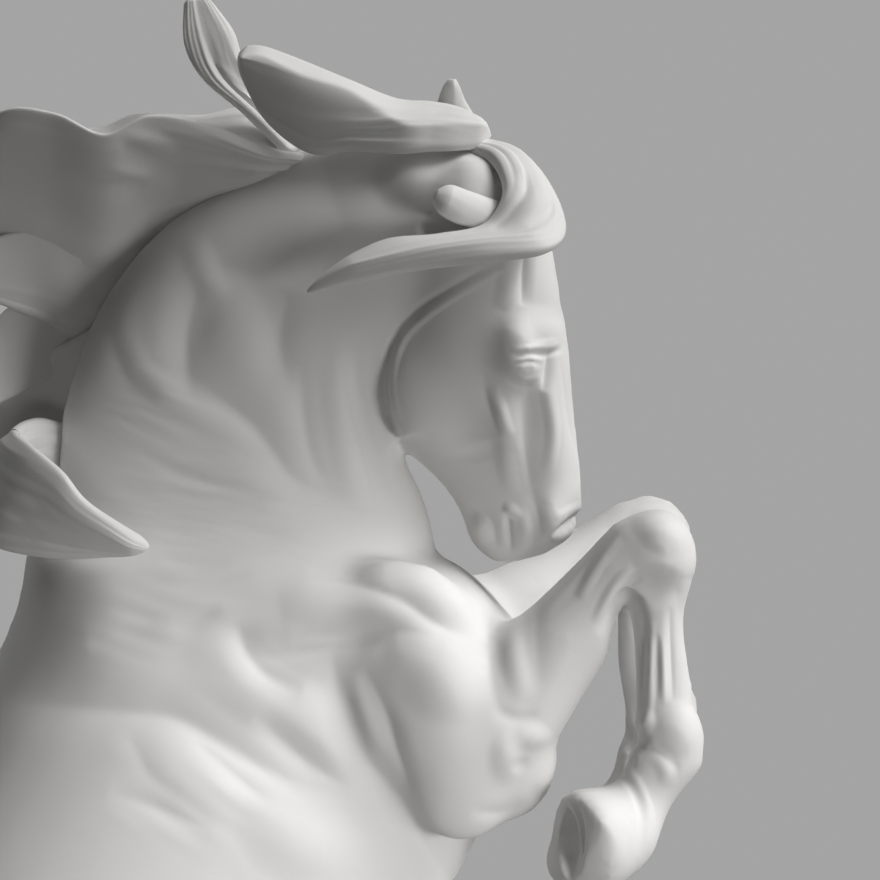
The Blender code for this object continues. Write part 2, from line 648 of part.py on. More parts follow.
def locks() -> list[Lock]:
    """Return the locks of mane and forelock, their roots tied to the crest and the poll."""
    return [
        Lock(
            "poll_lock", crest(0.96),
            ((0.0210, 0.0035, 0.0050), (0.0145, 0.0025, 0.0100), (0.0065, 0.0005, 0.0110),
             (-0.0020, -0.0025, 0.0120), (-0.0130, -0.0055, 0.0165), (-0.0255, -0.0075, 0.0220),
             (-0.0345, -0.0085, 0.0250), (-0.0395, -0.0085, 0.0245)),
            ((0.0210, -0.0015, 0.0025), (0.0155, -0.0095, 0.0010), (0.0070, -0.0125, 0.0005),
             (-0.0010, -0.0135, -0.0005), (-0.0125, -0.0115, -0.0005), (-0.0235, -0.0085, -0.0010),
             (-0.0345, -0.0065, 0.0080), (-0.0410, -0.0075, 0.0215)),
            0.0024,
        ),
        Lock(
            "upright_lock", crest(0.74),
            ((0.0090, 0.0030, 0.0080), (-0.0005, 0.0050, 0.0185), (-0.0055, 0.0070, 0.0285),
             (-0.0085, 0.0080, 0.0360), (-0.0155, 0.0090, 0.0435)),
            ((0.0045, 0.0030, 0.0055), (-0.0055, 0.0050, 0.0150), (-0.0155, 0.0070, 0.0235),
             (-0.0205, 0.0080, 0.0325), (-0.0210, 0.0090, 0.0430)),
            0.0022,
        ),
        Lock(
            "crest_wave", crest(0.68),
            ((0.0220, -0.0045, 0.0080), (0.0105, -0.0065, 0.0105), (-0.0040, -0.0105, 0.0165),
             (-0.0185, -0.0125, 0.0190), (-0.0275, -0.0145, 0.0150), (-0.0315, -0.0145, 0.0145),
             (-0.0420, -0.0125, 0.0195), (-0.0555, -0.0095, 0.0195), (-0.0715, -0.0045, 0.0065)),
            ((0.0230, -0.0065, 0.0050), (0.0100, -0.0125, 0.0015), (-0.0065, -0.0145, -0.0040),
             (-0.0210, -0.0165, -0.0100), (-0.0280, -0.0165, -0.0110), (-0.0325, -0.0165, -0.0115),
             (-0.0425, -0.0155, -0.0110), (-0.0555, -0.0125, -0.0070), (-0.0725, -0.0055, 0.0040)),
            0.0016,
        ),
        Lock(
            "crest_fall", crest(0.54),
            ((0.0160, -0.0115, 0.0115), (0.0060, -0.0145, 0.0090), (-0.0065, -0.0165, 0.0060),
             (-0.0210, -0.0175, 0.0050), (-0.0360, -0.0145, 0.0050), (-0.0535, -0.0075, -0.0030)),
            ((0.0125, -0.0095, 0.0045), (0.0010, -0.0135, -0.0030), (-0.0090, -0.0155, -0.0095),
             (-0.0210, -0.0155, -0.0135), (-0.0360, -0.0125, -0.0125), (-0.0545, -0.0075, -0.0065)),
            0.0016,
        ),
        Lock(
            "back_wave", crest(0.66),
            ((0.0180, 0.0050, 0.0120), (0.0080, 0.0070, 0.0220), (-0.0045, 0.0090, 0.0200),
             (-0.0195, 0.0110, 0.0205), (-0.0310, 0.0110, 0.0170), (-0.0520, 0.0080, 0.0165)),
            ((0.0195, 0.0030, 0.0075), (0.0110, 0.0040, 0.0115), (-0.0045, 0.0060, 0.0115),
             (-0.0195, 0.0080, 0.0110), (-0.0305, 0.0080, 0.0100), (-0.0525, 0.0070, 0.0135)),
            0.0018,
        ),
        Lock(
            "withers_lock", crest(0.18),
            ((0.0065, 0.0030, 0.0160), (-0.0040, -0.0070, 0.0195), (-0.0090, -0.0190, 0.0175),
             (-0.0035, -0.0290, 0.0135), (0.0035, -0.0350, 0.0080), (0.0090, -0.0360, 0.0010),
             (0.0175, -0.0370, -0.0050), (0.0245, -0.0360, -0.0095)),
            ((0.0020, 0.0030, 0.0050), (-0.0090, -0.0070, -0.0020), (-0.0175, -0.0170, -0.0055),
             (-0.0130, -0.0270, -0.0110), (-0.0030, -0.0330, -0.0135), (0.0055, -0.0350, -0.0135),
             (0.0160, -0.0350, -0.0125), (0.0245, -0.0350, -0.0110)),
            0.0020,
        ),
        Lock(
            "forelock", head(0.004, 0.004, 0.0),
            ((-0.0020, 0.0010, 0.0045), (0.0050, -0.0050, 0.0005), (0.0070, -0.0100, -0.0035),
             (0.0050, -0.0140, -0.0080), (-0.0020, -0.0190, -0.0145), (-0.0140, -0.0210, -0.0170),
             (-0.0250, -0.0210, -0.0180), (-0.0345, -0.0200, -0.0225), (-0.0435, -0.0190, -0.0290)),
            ((0.0015, 0.0030, 0.0075), (0.0110, -0.0020, 0.0020), (0.0170, -0.0080, -0.0060),
             (0.0195, -0.0150, -0.0150), (0.0125, -0.0220, -0.0210), (0.0005, -0.0240, -0.0220),
             (-0.0165, -0.0240, -0.0245), (-0.0325, -0.0230, -0.0275), (-0.0440, -0.0200, -0.0305)),
            0.0024,
        ),
        Lock(
            "left_upper_lock", crest(0.68),
            *ribbon(
                ((0.0120, 0.0030, 0.0020), (-0.0015, 0.0120, 0.0005), (-0.0165, 0.0170, -0.0050),
                 (-0.0320, 0.0180, -0.0135), (-0.0495, 0.0140, -0.0255)),
                (0.0050, 0.0100, 0.0115, 0.0095, 0.0018),
            ), 0.0022,
        ),
        Lock(
            "left_middle_lock", crest(0.50),
            *ribbon(
                ((0.0135, 0.0030, 0.0050), (0.0005, 0.0130, -0.0015), (-0.0135, 0.0180, -0.0105),
                 (-0.0295, 0.0180, -0.0215), (-0.0460, 0.0120, -0.0375)),
                (0.0050, 0.0100, 0.0115, 0.0095, 0.0018),
            ), 0.0022,
        ),
        Lock(
            "left_lower_lock", crest(0.32),
            *ribbon(
                ((0.0115, 0.0030, 0.0135), (0.0020, 0.0140, 0.0025), (-0.0080, 0.0200, -0.0090),
                 (-0.0210, 0.0220, -0.0215), (-0.0360, 0.0180, -0.0365)),
                (0.0050, 0.0100, 0.0110, 0.0090, 0.0018),
            ), 0.0022,
        ),
    ]


def lock_body(lock: Lock) -> bmesh.types.BMesh:
    """Return a lock as a closed leaf-shaped body between its edges."""
    upper = [lock.root + Vector(step) for step in lock.upper]
    lower = [lock.root + Vector(step) for step in lock.lower]
    middles = [(high + low) / 2.0 for high, low in zip(upper, lower)]
    last = len(middles) - 1
    stations = []
    for i, middle in enumerate(middles):
        along = middles[min(i + 1, last)] - middles[max(i - 1, 0)]
        across = (upper[i] - lower[i]) / 2.0
        facing = along.cross(across).normalized()
        taper = min(1.0, across.length / (1.6 * lock.thickness))
        stations.append(Station(middle, across, facing * lock.thickness * taper))
    bm = bmesh.new()
    loft(bm, stations, 2, 10)
    return bm


def tail_locks() -> list[Lock]:
    """Return the locks of the tail, falling from the dock to rest on the ground."""
    dock = trunk(*TAIL_DOCK)
    fall = GROUND_THICKNESS - dock.z
    return [
        Lock(
            "tail_dock", dock,
            *ribbon(
                ((0.012, 0.0, 0.000), (-0.004, 0.0, 0.010), (-0.022, 0.0, 0.010), (-0.038, 0.0, -0.006),
                 (-0.046, 0.0, -0.034), (-0.046, 0.0, -0.064), (-0.038, 0.0, -0.092)),
                (0.0070, 0.0085, 0.0105, 0.0120, 0.0120, 0.0090, 0.0020),
            ), 0.0085,
        ),
        Lock(
            "tail_right", dock + Vector((-0.030, -0.006, 0.0)),
            *ribbon(
                ((0.010, 0.0, 0.006), (-0.010, -0.005, -0.012), (-0.016, -0.009, -0.044),
                 (-0.012, -0.011, -0.080), (0.000, -0.011, -0.116), (0.012, -0.009, fall + 0.012),
                 (0.018, -0.008, fall - 0.006)),
                (0.0050, 0.0100, 0.0130, 0.0135, 0.0125, 0.0100, 0.0085),
            ), 0.0070,
        ),
        Lock(
            "tail_left", dock + Vector((-0.030, 0.006, 0.0)),
            *ribbon(
                ((0.010, 0.0, 0.006), (-0.012, 0.006, -0.010), (-0.022, 0.011, -0.040),
                 (-0.022, 0.014, -0.074), (-0.012, 0.014, -0.108), (0.000, 0.012, fall + 0.014),
                 (0.008, 0.010, fall - 0.006)),
                (0.0050, 0.0100, 0.0125, 0.0130, 0.0120, 0.0095, 0.0080),
            ), 0.0070,
        ),
    ]


def ear_body(base: Vector, tip: Vector, opening: Vector) -> bmesh.types.BMesh:
    """Return an ear: a pointed leaf hollowed towards its opening."""
    along = tip - base
    reach = along.length
    along.normalize()
    out = (opening - along * opening.dot(along)).normalized()
    side = along.cross(out)
    bm = bmesh.new()
    rows = []
    for share, half in EAR_PROFILE:
        middle = base + along * (share * reach)
        row = []
        for step in range(12):
            angle = 2.0 * math.pi * step / 12
            hollow = EAR_HOLLOW * half * max(0.0, math.cos(angle)) ** 2
            row.append(bm.verts.new(
                middle + side * (half * math.sin(angle)) + out * (0.62 * half * math.cos(angle) - hollow)
            ))
        rows.append(row)
    for low, high in zip(rows, rows[1:]):
        for i in range(12):
            j = (i + 1) % 12
            bm.faces.new((low[i], low[j], high[j], high[i]))
    bm.faces.new(rows[0])
    bm.faces.new(rows[-1])
    bmesh.ops.recalc_face_normals(bm, faces=bm.faces)
    return bm


def swollen(mesh: bpy.types.Mesh, growth: float) -> bpy.types.Mesh:
    """Return a copy of a mesh grown along its corners' normals."""
    bm = bmesh.new()
    bm.from_mesh(mesh)
    bm.normal_update()
    places = [v.co + v.normal * growth for v in bm.verts]
    for corner, place in zip(bm.verts, places):
        corner.co = place
    grown = bpy.data.meshes.new("Grown")
    bm.to_mesh(grown)
    bm.free()
    return grown


def boxes_meet(a: bpy.types.Mesh, b: bpy.types.Mesh) -> bool:
    """Tell whether the boxes round two meshes come within the slip film of each other."""
    for axis in range(3):
        first = [v.co[axis] for v in a.vertices]
        second = [v.co[axis] for v in b.vertices]
        if min(first) > max(second) + 2 * FILM or min(second) > max(first) + 2 * FILM:
            return False
    return True


def open_folds(bm: bmesh.types.BMesh) -> None:
    """Take out pairs of faces lying back to back on the same corners and close what opens."""
    seen: dict[frozenset, bmesh.types.BMFace] = {}
    folds = []
    for face in bm.faces:
        corners = frozenset(face.verts)
        if corners in seen:
            folds += [face, seen.pop(corners)]
        else:
            seen[corners] = face
    bmesh.ops.delete(bm, geom=folds, context="FACES")
    bmesh.ops.holes_fill(bm, edges=[e for e in bm.edges if e.is_boundary], sides=0)


def cut_back(mesh: bpy.types.Mesh, others: Iterable[bpy.types.Mesh], film: float) -> bmesh.types.BMesh:
    """Return the largest piece of a body left outside the others and a film round them."""
    body = bpy.data.objects.new("Seated", mesh)
    bpy.context.scene.collection.objects.link(body)
    cutters = []
    for other in others:
        cutter = bpy.data.objects.new("Cutter", swollen(other, film))
        bpy.context.scene.collection.objects.link(cutter)
        cutter.hide_render = True
        cutters.append(cutter)
        cut = body.modifiers.new("Seat", "BOOLEAN")
        cut.operation = "DIFFERENCE"
        cut.solver = "EXACT"
        cut.object = cutter
    graph = bpy.context.evaluated_depsgraph_get()
    result = bpy.data.meshes.new_from_object(body.evaluated_get(graph))
    for old in (body, *cutters):
        bpy.data.objects.remove(old)
    whole = bmesh.new()
    whole.from_mesh(result)
    bmesh.ops.triangulate(whole, faces=whole.faces)
    bmesh.ops.remove_doubles(whole, verts=whole.verts, dist=WELD)
    open_folds(whole)
    largest = copied(whole, max(islands(whole), key=len))
    whole.free()
    bmesh.ops.triangulate(largest, faces=largest.faces)
    return largest


def seated(bm: bmesh.types.BMesh, others: Iterable[bpy.types.Mesh]) -> bmesh.types.BMesh:
    """Return a body cut back to sit on the others with the slip film between, as one closed skin."""
    mesh = bpy.data.meshes.new("Seated")
    bm.to_mesh(mesh)
    bm.free()
    close = [other for other in others if boxes_meet(mesh, other)]
    for film in (FILM, FILM * 1.1, FILM * 1.2, FILM * 1.3):
        body = cut_back(mesh, close, film)
        if all(e.is_manifold for e in body.edges):
            return body
        body.free()
    raise ValueError("a lock has no closed seat")


def ground_body() -> bmesh.types.BMesh:
    """Return the oval ground with its rounded edge."""
    bm = bmesh.new()
    half = Vector((GROUND_LENGTH / 2.0, GROUND_WIDTH / 2.0, 0.0))
    levels = (
        (0.0, GROUND_ROUNDING * 0.5),
        (GROUND_ROUNDING * 0.5, 0.0),
        (GROUND_THICKNESS - GROUND_ROUNDING, 0.0),
        (GROUND_THICKNESS - GROUND_ROUNDING * 0.3, GROUND_ROUNDING * 0.3),
        (GROUND_THICKNESS, GROUND_ROUNDING),
    )
    rows = []
    for level, inset in levels:
        row = []
        for step in range(48):
            angle = 2.0 * math.pi * step / 48
            ripple = 1.0 + GROUND_RIPPLE * math.sin(3.0 * angle + 0.6) + GROUND_RIPPLE * math.sin(5.0 * angle)
            row.append(bm.verts.new((
                (half.x - inset) * math.cos(angle) * ripple,
                (half.y - inset) * math.sin(angle) * ripple,
                level,
            )))
        rows.append(row)
    for under, over in zip(rows, rows[1:]):
        for i in range(48):
            j = (i + 1) % 48
            bm.faces.new((under[i], under[j], over[j], over[i]))
    bm.faces.new(rows[0][::-1])
    bm.faces.new(rows[-1])
    bmesh.ops.recalc_face_normals(bm, faces=bm.faces)
    return bm


def material(name: str, colour: tuple[float, float, float], roughness: float) -> bpy.types.Material:
    """Return a material with the given base colour and roughness."""
    made = bpy.data.materials.new(name)
    made.use_nodes = True
    shader = made.node_tree.nodes["Principled BSDF"]
    shader.inputs["Base Color"].default_value = (*colour, 1.0)
    shader.inputs["Roughness"].default_value = roughness
    return made


def meshed(name: str, bm: bmesh.types.BMesh) -> bpy.types.Mesh:
    """Return a mesh made from a body, shaded smooth."""
    mesh = bpy.data.meshes.new(name)
    bm.to_mesh(mesh)
    bm.free()
    mesh.shade_smooth()
    mesh.set_sharp_from_angle(angle=math.radians(50.0))
    return mesh


def main() -> None:
    """Build every piece of the figure."""
    for old in list(bpy.data.objects):
        bpy.data.objects.remove(old)
    group = bpy.data.collections.new("Rearing horse figure")
    bpy.context.scene.collection.children.link(group)
    clay = clay_model()
    whole = meshed("Clay", clay.copy())
    castings = {name: meshed(name, bm) for name, bm in body_castings(clay).items()}
    castings["ground"] = meshed("ground", ground_body())
    laid = [whole, castings["ground"]]
    right_ear = ear_body(head(*RIGHT_EAR_BASE), head(*RIGHT_EAR_TIP), HEAD_RIGHT - HEAD_FRONT * 0.3)
    left_ear = ear_body(head(*LEFT_EAR_BASE), head(*LEFT_EAR_TIP), HEAD_FRONT * 0.4 - HEAD_RIGHT)
    hair = [("right_ear", right_ear), ("left_ear", left_ear)]
    hair += [(lock.name, lock_body(lock)) for lock in (*locks(), *tail_locks())]
    for name, bm in hair:
        castings[name] = meshed(name, seated(bm, laid))
        laid.append(castings[name])
    body = material("Body porcelain", (0.80, 0.79, 0.77), 0.55)
    strands = material("Hair porcelain", (0.79, 0.78, 0.76), 0.62)
    base = material("Ground porcelain", (0.78, 0.77, 0.75), 0.60)
    tresses = {lock.name for lock in (*locks(), *tail_locks())}
    for name, mesh in castings.items():
        mesh.materials.append(base if name == "ground" else strands if name in tresses else body)
        group.objects.link(bpy.data.objects.new(name, mesh))


main()
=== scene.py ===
"""Rearing horse figure in biscuit porcelain, dressed over its cast pieces.

The body is one clay skin taken from the castings, tooled with strokes and parted again at the castings'
own seams. Ears and locks of hair are drawn out of tubes and combed. Picture points are pixels of the view
from the horse's right side, 880 across. Depths and heights are millimetres.
"""

import logging
import math
from collections.abc import Mapping, Sequence
from dataclasses import dataclass
from enum import Enum

import bmesh
import bpy
import numpy as np
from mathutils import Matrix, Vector
from mathutils.bvhtree import BVHTree
from mathutils.kdtree import KDTree


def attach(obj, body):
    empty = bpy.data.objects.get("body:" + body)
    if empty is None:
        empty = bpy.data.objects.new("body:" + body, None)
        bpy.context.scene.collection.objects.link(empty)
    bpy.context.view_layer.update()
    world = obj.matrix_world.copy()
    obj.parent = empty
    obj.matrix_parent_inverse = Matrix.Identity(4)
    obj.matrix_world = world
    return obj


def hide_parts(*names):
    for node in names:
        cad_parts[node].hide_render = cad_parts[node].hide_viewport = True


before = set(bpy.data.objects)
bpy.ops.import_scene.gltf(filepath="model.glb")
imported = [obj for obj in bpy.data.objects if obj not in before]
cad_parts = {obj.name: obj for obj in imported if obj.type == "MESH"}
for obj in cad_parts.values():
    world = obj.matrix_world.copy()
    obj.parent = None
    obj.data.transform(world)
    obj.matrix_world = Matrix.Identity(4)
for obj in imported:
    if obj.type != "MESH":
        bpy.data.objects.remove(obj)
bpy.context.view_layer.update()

Point = tuple[float, float]
Place = tuple[float, float, float]
Colour = tuple[float, float, float]
Box = tuple[float, float, float, float]

LOG = logging.getLogger("horse_figure")
MM = 0.001
HAIRLINE = 0.00002


def put(name: str, data: bpy.types.ID) -> bpy.types.Object:
    """Put a mesh, light or camera in the scene.

    Args:
        name: The object's name.
        data: What it shows.

    Returns:
        The new object.
    """
    body = bpy.data.objects.new(name, data)
    bpy.context.scene.collection.objects.link(body)
    return body


def solid(name: str, bm: bmesh.types.BMesh) -> bpy.types.Mesh:
    """Turn a bmesh into a mesh.

    Args:
        name: The mesh's name.
        bm: The bmesh, which is freed.

    Returns:
        The mesh.
    """
    mesh = bpy.data.meshes.new(name)
    bm.to_mesh(mesh)
    bm.free()
    return mesh


@dataclass(frozen=True)
class View:
    """The view from the horse's right side that the picture points belong to."""

    aim: Place = (0.1255, 0.0, 0.37575)
    elevation: float = 3.0
    distance: float = 1.3
    breadth: float = 0.220
    pixels: int = 880

    def axes(self) -> tuple[np.ndarray, np.ndarray, np.ndarray]:
        """Work out how the view is turned.

        Returns:
            The directions to the right, upward and ahead.
        """
        tilt = math.radians(self.elevation)
        return (
            np.array((1.0, 0.0, 0.0)),
            np.array((0.0, math.sin(tilt), math.cos(tilt))),
            np.array((0.0, math.cos(tilt), -math.sin(tilt))),
        )

    def eye(self) -> np.ndarray:
        """Return the place that the view is taken from."""
        return np.array(self.aim) - self.axes()[2] * self.distance

    def picture(self, places: np.ndarray) -> np.ndarray:
        """Return where places fall in the picture.

        Args:
            places: One row of x, y and z for each place.

        Returns:
            One row of pixels across and down for each place.
        """
        right, up, ahead = self.axes()
        away = places - self.eye()
        scale = self.pixels / self.breadth * self.distance / (away @ ahead)
        half = self.pixels / 2.0
        return np.stack((half + (away @ right) * scale, half - (away @ up) * scale), axis=1)

    def place(self, across: float, down: float, out: float) -> Vector:
        """Return the place seen at a pixel.

        Args:
            across: Pixels from the picture's left edge.
            down: Pixels from the picture's top edge.
            out: The place's y in millimetres, less than zero on the horse's right.

        Returns:
            The place in metres.
        """
        right, up, ahead = self.axes()
        step = self.breadth / self.pixels
        half = self.pixels / 2.0
        line = ahead * self.distance + right * ((across - half) * step) + up * ((half - down) * step)
        eye = self.eye()
        return Vector(eye + line * ((out * MM - eye[1]) / line[1]))

    def camera(self) -> None:
        """Give the scene a camera for this view."""
        lens = bpy.data.cameras.new("camera")
        lens.lens = lens.sensor_width * self.distance / self.breadth
        lens.clip_start = 0.01
        camera = put("camera", lens)
        camera.location = self.eye()
        camera.rotation_euler = (math.radians(90.0 - self.elevation), 0.0, 0.0)
        bpy.context.scene.camera = camera


VIEW = View()


def unit(rows: np.ndarray) -> np.ndarray:
    """Return each row at length one."""
    return rows / np.maximum(np.linalg.norm(rows, axis=1, keepdims=True), 1e-12)


def curve(rows: np.ndarray, share: np.ndarray) -> np.ndarray:
    """Return smooth values through evenly spaced rows.

    Args:
        rows: One row of values at each stop.
        share: Where values are wanted, from 0 at the first row to 1 at the last.

    Returns:
        One row of values for each wanted place.
    """
    count = len(rows)
    place = np.clip(share, 0.0, 1.0) * (count - 1)
    low = np.minimum(place.astype(int), count - 2)
    t = (place - low)[:, None]
    a = rows[np.maximum(low - 1, 0)]
    b = rows[low]
    c = rows[low + 1]
    d = rows[np.minimum(low + 2, count - 1)]
    return 0.5 * (2 * b + (c - a) * t + (2 * a - 5 * b + 4 * c - d) * t**2 + (3 * b - a - 3 * c + d) * t**3)


class Tool(Enum):
    """What a stroke does to the clay."""

    RIDGE = "ridge"
    CREASE = "crease"
    STEP = "step"


@dataclass(frozen=True)
class Stroke:
    """One tool stroke: what it does, its height, its reach to each side in pixels and its path."""

    tool: Tool
    height: float
    reach: float
    path: tuple[Point, ...]

    STEP_GAIN = 2.2
    CREASE_POWER = 2.2
    CREASE_ROUND = 0.06

    def line(self) -> np.ndarray:
        """Smooth the path.

        Returns:
            One row of pixels across and down for each short step.
        """
        path = np.array(self.path, dtype=float)
        if len(path) < 3:
            return path
        return curve(path, np.linspace(0.0, 1.0, 6 * len(path)))

    def lift(self, pixels: np.ndarray) -> np.ndarray:
        """Work out what the stroke does.

        Args:
            pixels: One row of pixels across and down for each point of the clay.

        Returns:
            How far each point is lifted, in metres.
        """
        line = self.line()
        lift = np.zeros(len(pixels))
        past_start = pixels > line.min(axis=0) - self.reach
        before_end = pixels < line.max(axis=0) + self.reach
        inside = (past_start & before_end).all(axis=1)
        near = pixels[inside]
        if not len(near):
            return lift
        best = np.full(len(near), np.inf)
        signed = np.zeros(len(near))
        along = np.zeros(len(near))
        lengths = np.linalg.norm(np.diff(line, axis=0), axis=1)
        gone = 0.0
        for start, end, length in zip(line, line[1:], lengths):
            way = (end - start) / max(length, 1e-6)
            off = near - start
            run = np.clip(off @ way, 0.0, length)
            far = np.linalg.norm(off - run[:, None] * way, axis=1)
            side = way[0] * off[:, 1] - way[1] * off[:, 0]
            closer = far < best
            best = np.where(closer, far, best)
            signed = np.where(closer, np.copysign(far, side), signed)
            along = np.where(closer, (gone + run) / lengths.sum(), along)
            gone += length
        off = np.clip(best / self.reach, 0.0, 1.0)
        bell = (1.0 - off**2) ** 2
        taper = np.clip(4.0 * along * (1.0 - along), 0.0, 1.0)
        rise = taper * self.height * MM
        if self.tool is Tool.STEP:
            rise *= self.STEP_GAIN * bell * signed / self.reach
        elif self.tool is Tool.CREASE:
            wall = 1.0 + self.CREASE_ROUND - np.sqrt(off**2 + self.CREASE_ROUND**2)
            rise *= -(wall**self.CREASE_POWER) * (1.0 - off**6)
        else:
            rise *= bell
        lift[inside] = rise
        return lift


def oval(
    pixels: np.ndarray, middle: Point, radii: Point, slant: float
) -> tuple[np.ndarray, np.ndarray, np.ndarray]:
    """Measure picture points against a slanted oval.

    Args:
        pixels: One row of pixels across and down for each point.
        middle: The oval's middle.
        radii: Its half length and half breadth in pixels.
        slant: How far its length turns down from level, in degrees.

    Returns:
        How far each point lies from the middle along and across, and how far inside, from 0 to 1.
    """
    turn = math.radians(slant)
    off = pixels - np.array(middle)
    along = off[:, 0] * math.cos(turn) + off[:, 1] * math.sin(turn)
    across = off[:, 1] * math.cos(turn) - off[:, 0] * math.sin(turn)
    inside = np.clip(1.0 - (along / radii[0]) ** 2 - (across / radii[1]) ** 2, 0.0, 1.0)
    return along, across, inside


@dataclass(frozen=True)
class Bump:
    """A round swelling or dent: height, radii in pixels, slant, middle, and how softly it runs out."""

    height: float
    radii: Point
    slant: float
    middle: Point
    softness: float = 2.0

    def lift(self, pixels: np.ndarray) -> np.ndarray:
        """Return how far the swelling lifts the clay at each picture point, in metres."""
        _, _, inside = oval(pixels, self.middle, self.radii, self.slant)
        return self.height * MM * inside**self.softness


@dataclass(frozen=True)
class Streaks:
    """Brushed lines in a round patch, placed as a swelling is, with a line's breadth in pixels.

    Waves of three kinds of number make the lines: how often, where they start and how much they sway.
    """

    height: float
    radii: Point
    slant: float
    middle: Point
    breadth: float

    WAVES = ((1.0, 0.3, 0.7), (1.43, 2.1, 1.1), (0.61, 4.0, 0.5), (2.17, 1.2, 1.7))
    GAIN = 0.4
    BEND = 1.8
    BEND_RATE = 0.11
    FADE_ALONG = 0.16
    FADE_ACROSS = 0.21

    def lift(self, pixels: np.ndarray) -> np.ndarray:
        """Work out the lines.

        Args:
            pixels: One row of pixels across and down for each point of the clay.

        Returns:
            How far each point is lifted, in metres.
        """
        along, across, inside = oval(pixels, self.middle, self.radii, self.slant)
        beat = 2.0 * math.pi / self.breadth
        lines = np.zeros(len(pixels))
        for often, start, sway in self.WAVES:
            bend = self.BEND * np.sin(along * beat * self.BEND_RATE * sway + 3.0 * start)
            drift = along * beat * self.FADE_ALONG * sway + across * beat * self.FADE_ACROSS + start
            fade = 0.5 + 0.5 * np.sin(drift)
            lines += np.cos(across * beat * often + start + bend) * fade
        return self.height * MM * self.GAIN * inside * lines


Mark = Stroke | Bump | Streaks


def ridge(height: float, reach: float, *path: Point) -> Stroke:
    """Return a stroke that raises a ridge."""
    return Stroke(Tool.RIDGE, height, reach, path)


def crease(height: float, reach: float, *path: Point) -> Stroke:
    """Return a stroke that presses in a crease with round shoulders."""
    return Stroke(Tool.CREASE, height, reach, path)


def step(height: float, reach: float, *path: Point) -> Stroke:
    """Return a stroke that raises what lies right of its path and lowers what lies left."""
    return Stroke(Tool.STEP, height, reach, path)


@dataclass(frozen=True)
class Twin:
    """A part that the view doesn't reach, and where its shown like lies.

    The part lies round anchor. Its like is found by a turn about y, in degrees, a shift from here to there,
    and a fold to the near side of the plane through there that has the given side.
    """

    anchor: Place
    here: Place
    there: Place
    turn: float = 0.0
    side: Place = (0.0, -1.0, 0.0)

    def like(self, places: np.ndarray) -> np.ndarray:
        """Find the shown likes of hidden places.

        Args:
            places: One row of x, y and z for each hidden place.

        Returns:
            One row for each like.
        """
        turn = math.radians(self.turn)
        off = places - np.array(self.here)
        x = off[:, 0] * math.cos(turn) - off[:, 2] * math.sin(turn)
        z = off[:, 0] * math.sin(turn) + off[:, 2] * math.cos(turn)
        off = np.stack((x, off[:, 1], z), axis=1)
        side = np.array(self.side) / np.linalg.norm(self.side)
        out = off @ side
        return np.array(self.there) + off + np.outer(np.abs(out) - out, side)


def fold(anchor: Place, through: Place, side: Place = (0.0, -1.0, 0.0)) -> Twin:
    """Return a twin whose like lies straight across a plane through the given place."""
    return Twin(anchor, through, through, 0.0, side)


@dataclass(frozen=True)
class Seam:
    """A flat seam between two castings: middle, normal and half the breadth of the cut."""

    middle: np.ndarray
    normal: np.ndarray
    reach: float

    FILM = 0.4 * MM
    MARGIN = 1.5
    TOUCH = 0.001 * MM

    @classmethod
    def between(cls, first: bpy.types.Object, second: bpy.types.Object) -> "Seam":
        """Return the seam where two castings face each other.

        Args:
            first: The casting on one side.
            second: The casting on the other side.

        Returns:
            The flat that lies midway between their facing rims.
        """
        tree = KDTree(len(second.data.vertices))
        for corner in second.data.vertices:
            tree.insert(corner.co, corner.index)
        tree.balance()
        rim = []
        for corner in first.data.vertices:
            place, _, gap = tree.find(corner.co)
            if gap < cls.FILM:
                rim.append((corner.co + place) / 2.0)
        points = np.array(rim)
        middle = (points.min(axis=0) + points.max(axis=0)) / 2.0
        normal = np.linalg.svd(points - points.mean(axis=0), full_matrices=False)[2][2]
        reach = float(np.linalg.norm(points - middle, axis=1).max())
        return cls(middle, normal, reach)

    def crosses(self, face: bmesh.types.BMFace) -> bool:
        """Tell whether a face lies on both sides of the seam, within its breadth.

        Args:
            face: A face of the clay.

        Returns:
            True where the seam has to cut it.
        """
        middle, normal = Vector(self.middle), Vector(self.normal)
        heights = [(corner.co - middle).dot(normal) for corner in face.verts]
        near = min((corner.co - middle).length for corner in face.verts) < self.reach * self.MARGIN
        return near and min(heights) < self.TOUCH and max(heights) > -self.TOUCH


class Side(Enum):
    """The sides of the horse, by the sign of their y."""

    RIGHT = -1
    BOTH = 0
    LEFT = 1


@dataclass(frozen=True)
class Pull:
    """A soft drag across the picture: middle, radii and shift in pixels, and the horse's side it takes."""

    middle: Point
    radii: Point
    shift: Point
    side: Side = Side.BOTH

    def give(self, places: np.ndarray, pixels: np.ndarray) -> np.ndarray:
        """Work out how far each place follows the drag.

        Args:
            places: One row of x, y and z for each place.
            pixels: Where the places fall in the picture.

        Returns:
            A share for each place, up to 1.
        """
        away = (((pixels - self.middle) / self.radii) ** 2).sum(axis=1)
        taken = places[:, 1] * self.side.value >= 0.0
        return np.where(taken, np.clip(1.0 - away, 0.0, 1.0) ** 2, 0.0)


def merged(node: bpy.types.Object) -> bmesh.types.BMesh:
    """Join the loose triangles of a casting.

    Args:
        node: The casting.

    Returns:
        A copy of its mesh with each corner once.
    """
    bm = bmesh.new()
    bm.from_mesh(node.data)
    bmesh.ops.remove_doubles(bm, verts=bm.verts, dist=0.001 * MM)
    bm.normal_update()
    return bm


def largest(bm: bmesh.types.BMesh) -> None:
    """Take everything but the largest body out of a bmesh.

    Args:
        bm: The bmesh, which is changed.
    """
    bodies = islands(bm)
    keep = max(bodies, key=len)
    rest = [corner for body in bodies if body is not keep for corner in body]
    bmesh.ops.delete(bm, geom=rest, context="VERTS")


